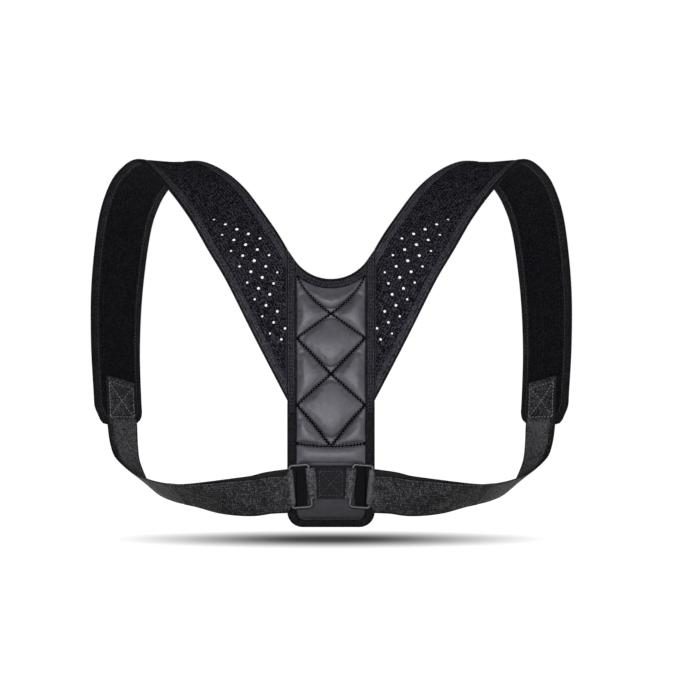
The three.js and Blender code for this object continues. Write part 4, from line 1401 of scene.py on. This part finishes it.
main = np.arange(strap_start, path_length, STRAP_STEP)
place = strap_place(main)
main_centre = place.centre - place.outward * STRAP_OFFSET
turn = strap_place(np.array(path_length))
bar = turn.centre + turn.outward * (WRAP_RADIUS - STRAP_OFFSET)
towards = unit(np.cross(turn.across, turn.outward))
angle = np.linspace(0, pi, BAR_STEPS)[:, None]
wrap_outward = turn.outward * np.cos(angle) - towards * np.sin(angle)
wrap_centre = bar - wrap_outward * WRAP_RADIUS
back = np.arange(STRAP_STEP, FOLD_BACK_LENGTH + 1, STRAP_STEP)
folded = strap_place(path_length - back)
closing = fade(back / FOLD_BACK_CLOSE_LENGTH)
apart = 2 * WRAP_RADIUS + (WEBBING_THICKNESS + LAYER_GAP - 2 * WRAP_RADIUS) * closing
drop = FOLD_BACK_DROP * fade(back / FOLD_BACK_DROP_LENGTH)
drop = drop * np.clip(1 - back / FOLD_BACK_LENGTH, 0, 1) ** FOLD_BACK_DROP_POWER
drop = drop - FOLD_BACK_LIFT * fade(1 - (FOLD_BACK_LENGTH - back) / FOLD_BACK_LIFT_LENGTH)
back_centre = folded.centre + folded.outward * (apart - STRAP_OFFSET)[:, None]
back_centre = back_centre + folded.across * drop[:, None]

centre = np.concatenate([main_centre, wrap_centre, back_centre])
across_way = np.concatenate([place.across, np.tile(turn.across, (BAR_STEPS, 1)), folded.across])
outward = np.concatenate([place.outward, wrap_outward, -folded.outward])
miles = run_length(centre)
hems = (miles < HEM_LENGTH) | (miles[-1] - miles < HEM_LENGTH)
thick = WEBBING_THICKNESS / 2 + HEM_SWELL * hems

share = np.cos(np.linspace(pi, 0, STRAP_COLUMNS))
share = np.sign(share) * np.abs(share) ** COLUMN_SPREAD
edge_round = webbing_edge(share, STRAP_EDGE_POWER)
section_a = np.concatenate([share, share[::-1]]) * WEBBING_WIDTH / 2
section_b = np.concatenate([-edge_round, edge_round[::-1]])

# Wear and painted light on the webbing: paler where it turns round the bar, partly wear and partly painted
# highlight; paler for a stretch where it leaves the arm; black along its selvages, the edge weave; painted
# shade where the folded-back layer lies over it and along one edge below the arm; and a painted highlight
# along the upper edge of the folded-back layer.
WEAR_AND_LIGHT = {
    "bar": 1.5,
    "below arm": 0.72,
    "arm end": 0.12,
    "shade_under_fold_back": -0.75,
    "selvage": -0.8,
    "edge shade below arm": -0.9,
    "painted edge highlight": 1.6,
}
BAR_PALE_LENGTH = 6
PALE_PAST_ARM_LENGTH = 45
COVERED_FADE = 14
SELVAGE = 2.4
EDGE_SHADE_WIDTH = 9
run = miles[:, None]
number = np.arange(len(miles))[:, None]
on_main = number < len(main)
on_back = number >= len(main) + BAR_STEPS
bar_run = miles[len(main) + BAR_STEPS // 2]
past_arm = run - PATCH_LENGTH
from_edge = section_a + WEBBING_WIDTH / 2
# Paler round the bar: partly wear of the bent webbing, partly painted highlight.
at_bar = np.exp(-(((run - bar_run) / BAR_PALE_LENGTH) ** 2))
# Painted shade on the main layer where the folded-back layer lies over it.
shade_under_fold_back = on_main * fade((run - bar_run + FOLD_BACK_LENGTH + COVERED_FADE) / COVERED_FADE)
# Paler for a stretch past the arm's end.
below_arm = fade((past_arm + 8) / 10) * (1 - fade((past_arm - PALE_PAST_ARM_LENGTH) / 30))
on_arm_end = 1 - fade(past_arm / 10)
selvage = fade((np.abs(section_a) - WEBBING_WIDTH / 2 + SELVAGE) / 0.8)
# Painted shade along one edge of the webbing below the arm.
edge_shade_below_arm = below_arm * fade((EDGE_SHADE_WIDTH - from_edge) / 4)
# Painted highlight along the upper edge of the folded-back layer.
painted_edge_highlight = on_back * np.exp(-(((from_edge - 0.6) / 0.7) ** 2))
strap_wear_and_light = WEAR_AND_LIGHT["bar"] * at_bar + WEAR_AND_LIGHT["below arm"] * below_arm + WEAR_AND_LIGHT["arm end"] * on_arm_end
strap_wear_and_light = strap_wear_and_light + WEAR_AND_LIGHT["shade_under_fold_back"] * shade_under_fold_back + WEAR_AND_LIGHT["selvage"] * selvage
strap_wear_and_light = np.maximum(strap_wear_and_light + WEAR_AND_LIGHT["edge shade below arm"] * edge_shade_below_arm, -1) + WEAR_AND_LIGHT["painted edge highlight"] * painted_edge_highlight

for label, side in SIDES.items():
    rows = centre[:, None] + across_way[:, None] * section_a[:, None]
    rows = rows + outward[:, None] * (section_b[:, None] * thick[:, None, None])
    mesh = band_mesh(f"{label}_webbing", rows * (side, 1, 1), np.append(section_a, section_a[0]), miles)
    mark(mesh, "wear_and_painted_light", strap_wear_and_light)
    put(f"{label}_webbing", mesh, webbing, "webbing", f"{label}_strap")

# Crossed boxes: the sewn squares that hold the straps on the arms and the holder on the tab, and
# the rows across the hems.
BOX_INSET = 3.4
BOX_START = 3
BOX_LINE_STEPS = 16
BOX_THREAD_RADIUS = 0.38
BOX_THREAD_LIFT = 0.12
HEM_ROWS = (4.0, 9.0)
HEM_ROW_INSET = 2
HEM_ROW_POINTS = 12
HEM_THREAD_LIFT = 0.08


def crossed_box(width, length):
    """Lines of a sewn box with its diagonals, as points across and along"""
    w = width / 2
    corners = [(-w, 0), (w, 0), (w, length), (-w, length), (-w, 0)]
    lines = [*zip(corners, corners[1:]), (corners[0], corners[2]), (corners[1], corners[3])]
    steps = np.linspace(0, 1, BOX_LINE_STEPS)[:, None]
    return [np.array(start) * (1 - steps) + np.array(end) * steps for start, end in lines]


box_length = PATCH_LENGTH - 2 * (BOX_INSET + BOX_START)
box_lines = crossed_box(WEBBING_WIDTH - 2 * BOX_INSET, box_length)
box_height = STRAP_OFFSET + WEBBING_THICKNESS / 2 + BOX_THREAD_LIFT
for label, side in SIDES.items():
    seams = []
    for lines in box_lines:
        spot = strap_place(strap_start + BOX_INSET + BOX_START + lines[:, 1])
        points = spot.centre + spot.across * lines[:, :1] - spot.outward * box_height
        seams.append((points * (side, 1, 1), -spot.outward * (side, 1, 1)))
    sew(f"{label}_box_stitches", "webbing", seams, thread="pale_thread", radius=BOX_THREAD_RADIUS)
    seams = []
    for away in HEM_ROWS:
        index = int(np.searchsorted(miles, miles[-1] - away))
        reach = np.linspace(-1, 1, HEM_ROW_POINTS)[:, None] * (WEBBING_WIDTH / 2 - HEM_ROW_INSET)
        for face in (1, -1):
            facing = outward[index] * face
            points = centre[index] + across_way[index] * reach
            points = points + facing * (thick[index] + HEM_THREAD_LIFT)
            seams.append((points * (side, 1, 1), facing * (side, 1, 1)))
    sew(f"{label}_hem_stitches", "webbing", seams, thread="black_thread")

# Ring holder: a short belt of the same webbing round the inner bars of both rings, sewn flat on
# the tab with a crossed box, so that it bulges beside the rings.
HOLDER_WIDTH = 32
HOLDER_LOOP_LENGTH = 5.2
HOLDER_LAYER_GAP = 0.4
HOLDER_BULGE_POWER = 1.4
HOLDER_EDGE_POWER = 12
HOLDER_THREAD_LIFT = 0.1
HOLDER_DARKENING = -0.72
BULGE_WEAR_AND_HIGHLIGHT = 1.22
inner_bar_x = RING_X - BAR_REACH
inner_bar_z = -RING_DROP + BAR_DROP
belt_radius = RING_WIRE / 2 + CLEARANCE + HOLDER_THICKNESS / 2
back_y = RING_Y + belt_radius
front_y = back_y - HOLDER_THICKNESS - HOLDER_LAYER_GAP
patch_end = inner_bar_x - belt_radius - HOLDER_LOOP_LENGTH
holder_top = WEBBING_WIDTH / 2 - RING_DROP

bulge_y = RING_Y - belt_radius
half_belt = [(x, back_y) for x in np.linspace(0, inner_bar_x, 12)[:-1]]
half_belt += [
    (inner_bar_x + belt_radius * sin(turn), RING_Y + belt_radius * cos(turn))
    for turn in np.linspace(0, pi, 13)
]
for step in np.linspace(0, 1, 14)[1:]:
    fall = float(fade(step**HOLDER_BULGE_POWER))
    x = inner_bar_x + (patch_end - inner_bar_x) * step
    half_belt.append((x, bulge_y + (front_y - bulge_y) * fall))
half_belt += [(x, front_y) for x in np.linspace(patch_end, 0, 8)[1:]]
half_belt = np.array(half_belt)
other_half = half_belt[1:-1][::-1] * (-1, 1)
belt = np.concatenate([half_belt, other_half])
ahead = unit(np.roll(belt, -1, axis=0) - np.roll(belt, 1, axis=0))
aside = np.stack([ahead[:, 1], -ahead[:, 0]], -1)
belt_share = np.cos(np.linspace(pi, 0, 16))
belt_round = webbing_edge(belt_share, HOLDER_EDGE_POWER)
level = np.concatenate([belt_share, belt_share[::-1]]) * HOLDER_WIDTH / 2
level = level + holder_top - HOLDER_WIDTH / 2
shell = np.concatenate([-belt_round, belt_round[::-1]]) * HOLDER_THICKNESS / 2
plan = belt[:, None] + aside[:, None] * shell[:, None]
lean = (level - inner_bar_z) * tan(RING_TILT)
x = plan[..., 0] * (1 + lean / inner_bar_x)
rows = np.stack([x, plan[..., 1], np.broadcast_to(level, x.shape)], -1)
mesh = band_mesh("holder_webbing", rows, np.append(level, level[0]), run_length(belt), closed=True)
# The holder is darker all over, and paler where it bulges beside the rings: partly wear, partly painted
# highlight.
bulge = fade((np.abs(belt[:, 0]) - patch_end) / 3) * (belt[:, 1] < RING_Y)
mark(mesh, "wear_and_painted_light", np.repeat(BULGE_WEAR_AND_HIGHLIGHT * bulge + HOLDER_DARKENING, len(level)))
put("holder_webbing", mesh, webbing, "webbing", "ring_holder")

seams = []
for lines in crossed_box(2 * patch_end - 3, HOLDER_WIDTH - 2 * BOX_INSET):
    z = holder_top - BOX_INSET - lines[:, 1]
    y = np.full(len(z), front_y - HOLDER_THICKNESS / 2 - HOLDER_THREAD_LIFT)
    seams.append((np.stack([lines[:, 0], y, z], -1), BACKWARDS))
sew("holder_stitches", "webbing", seams)
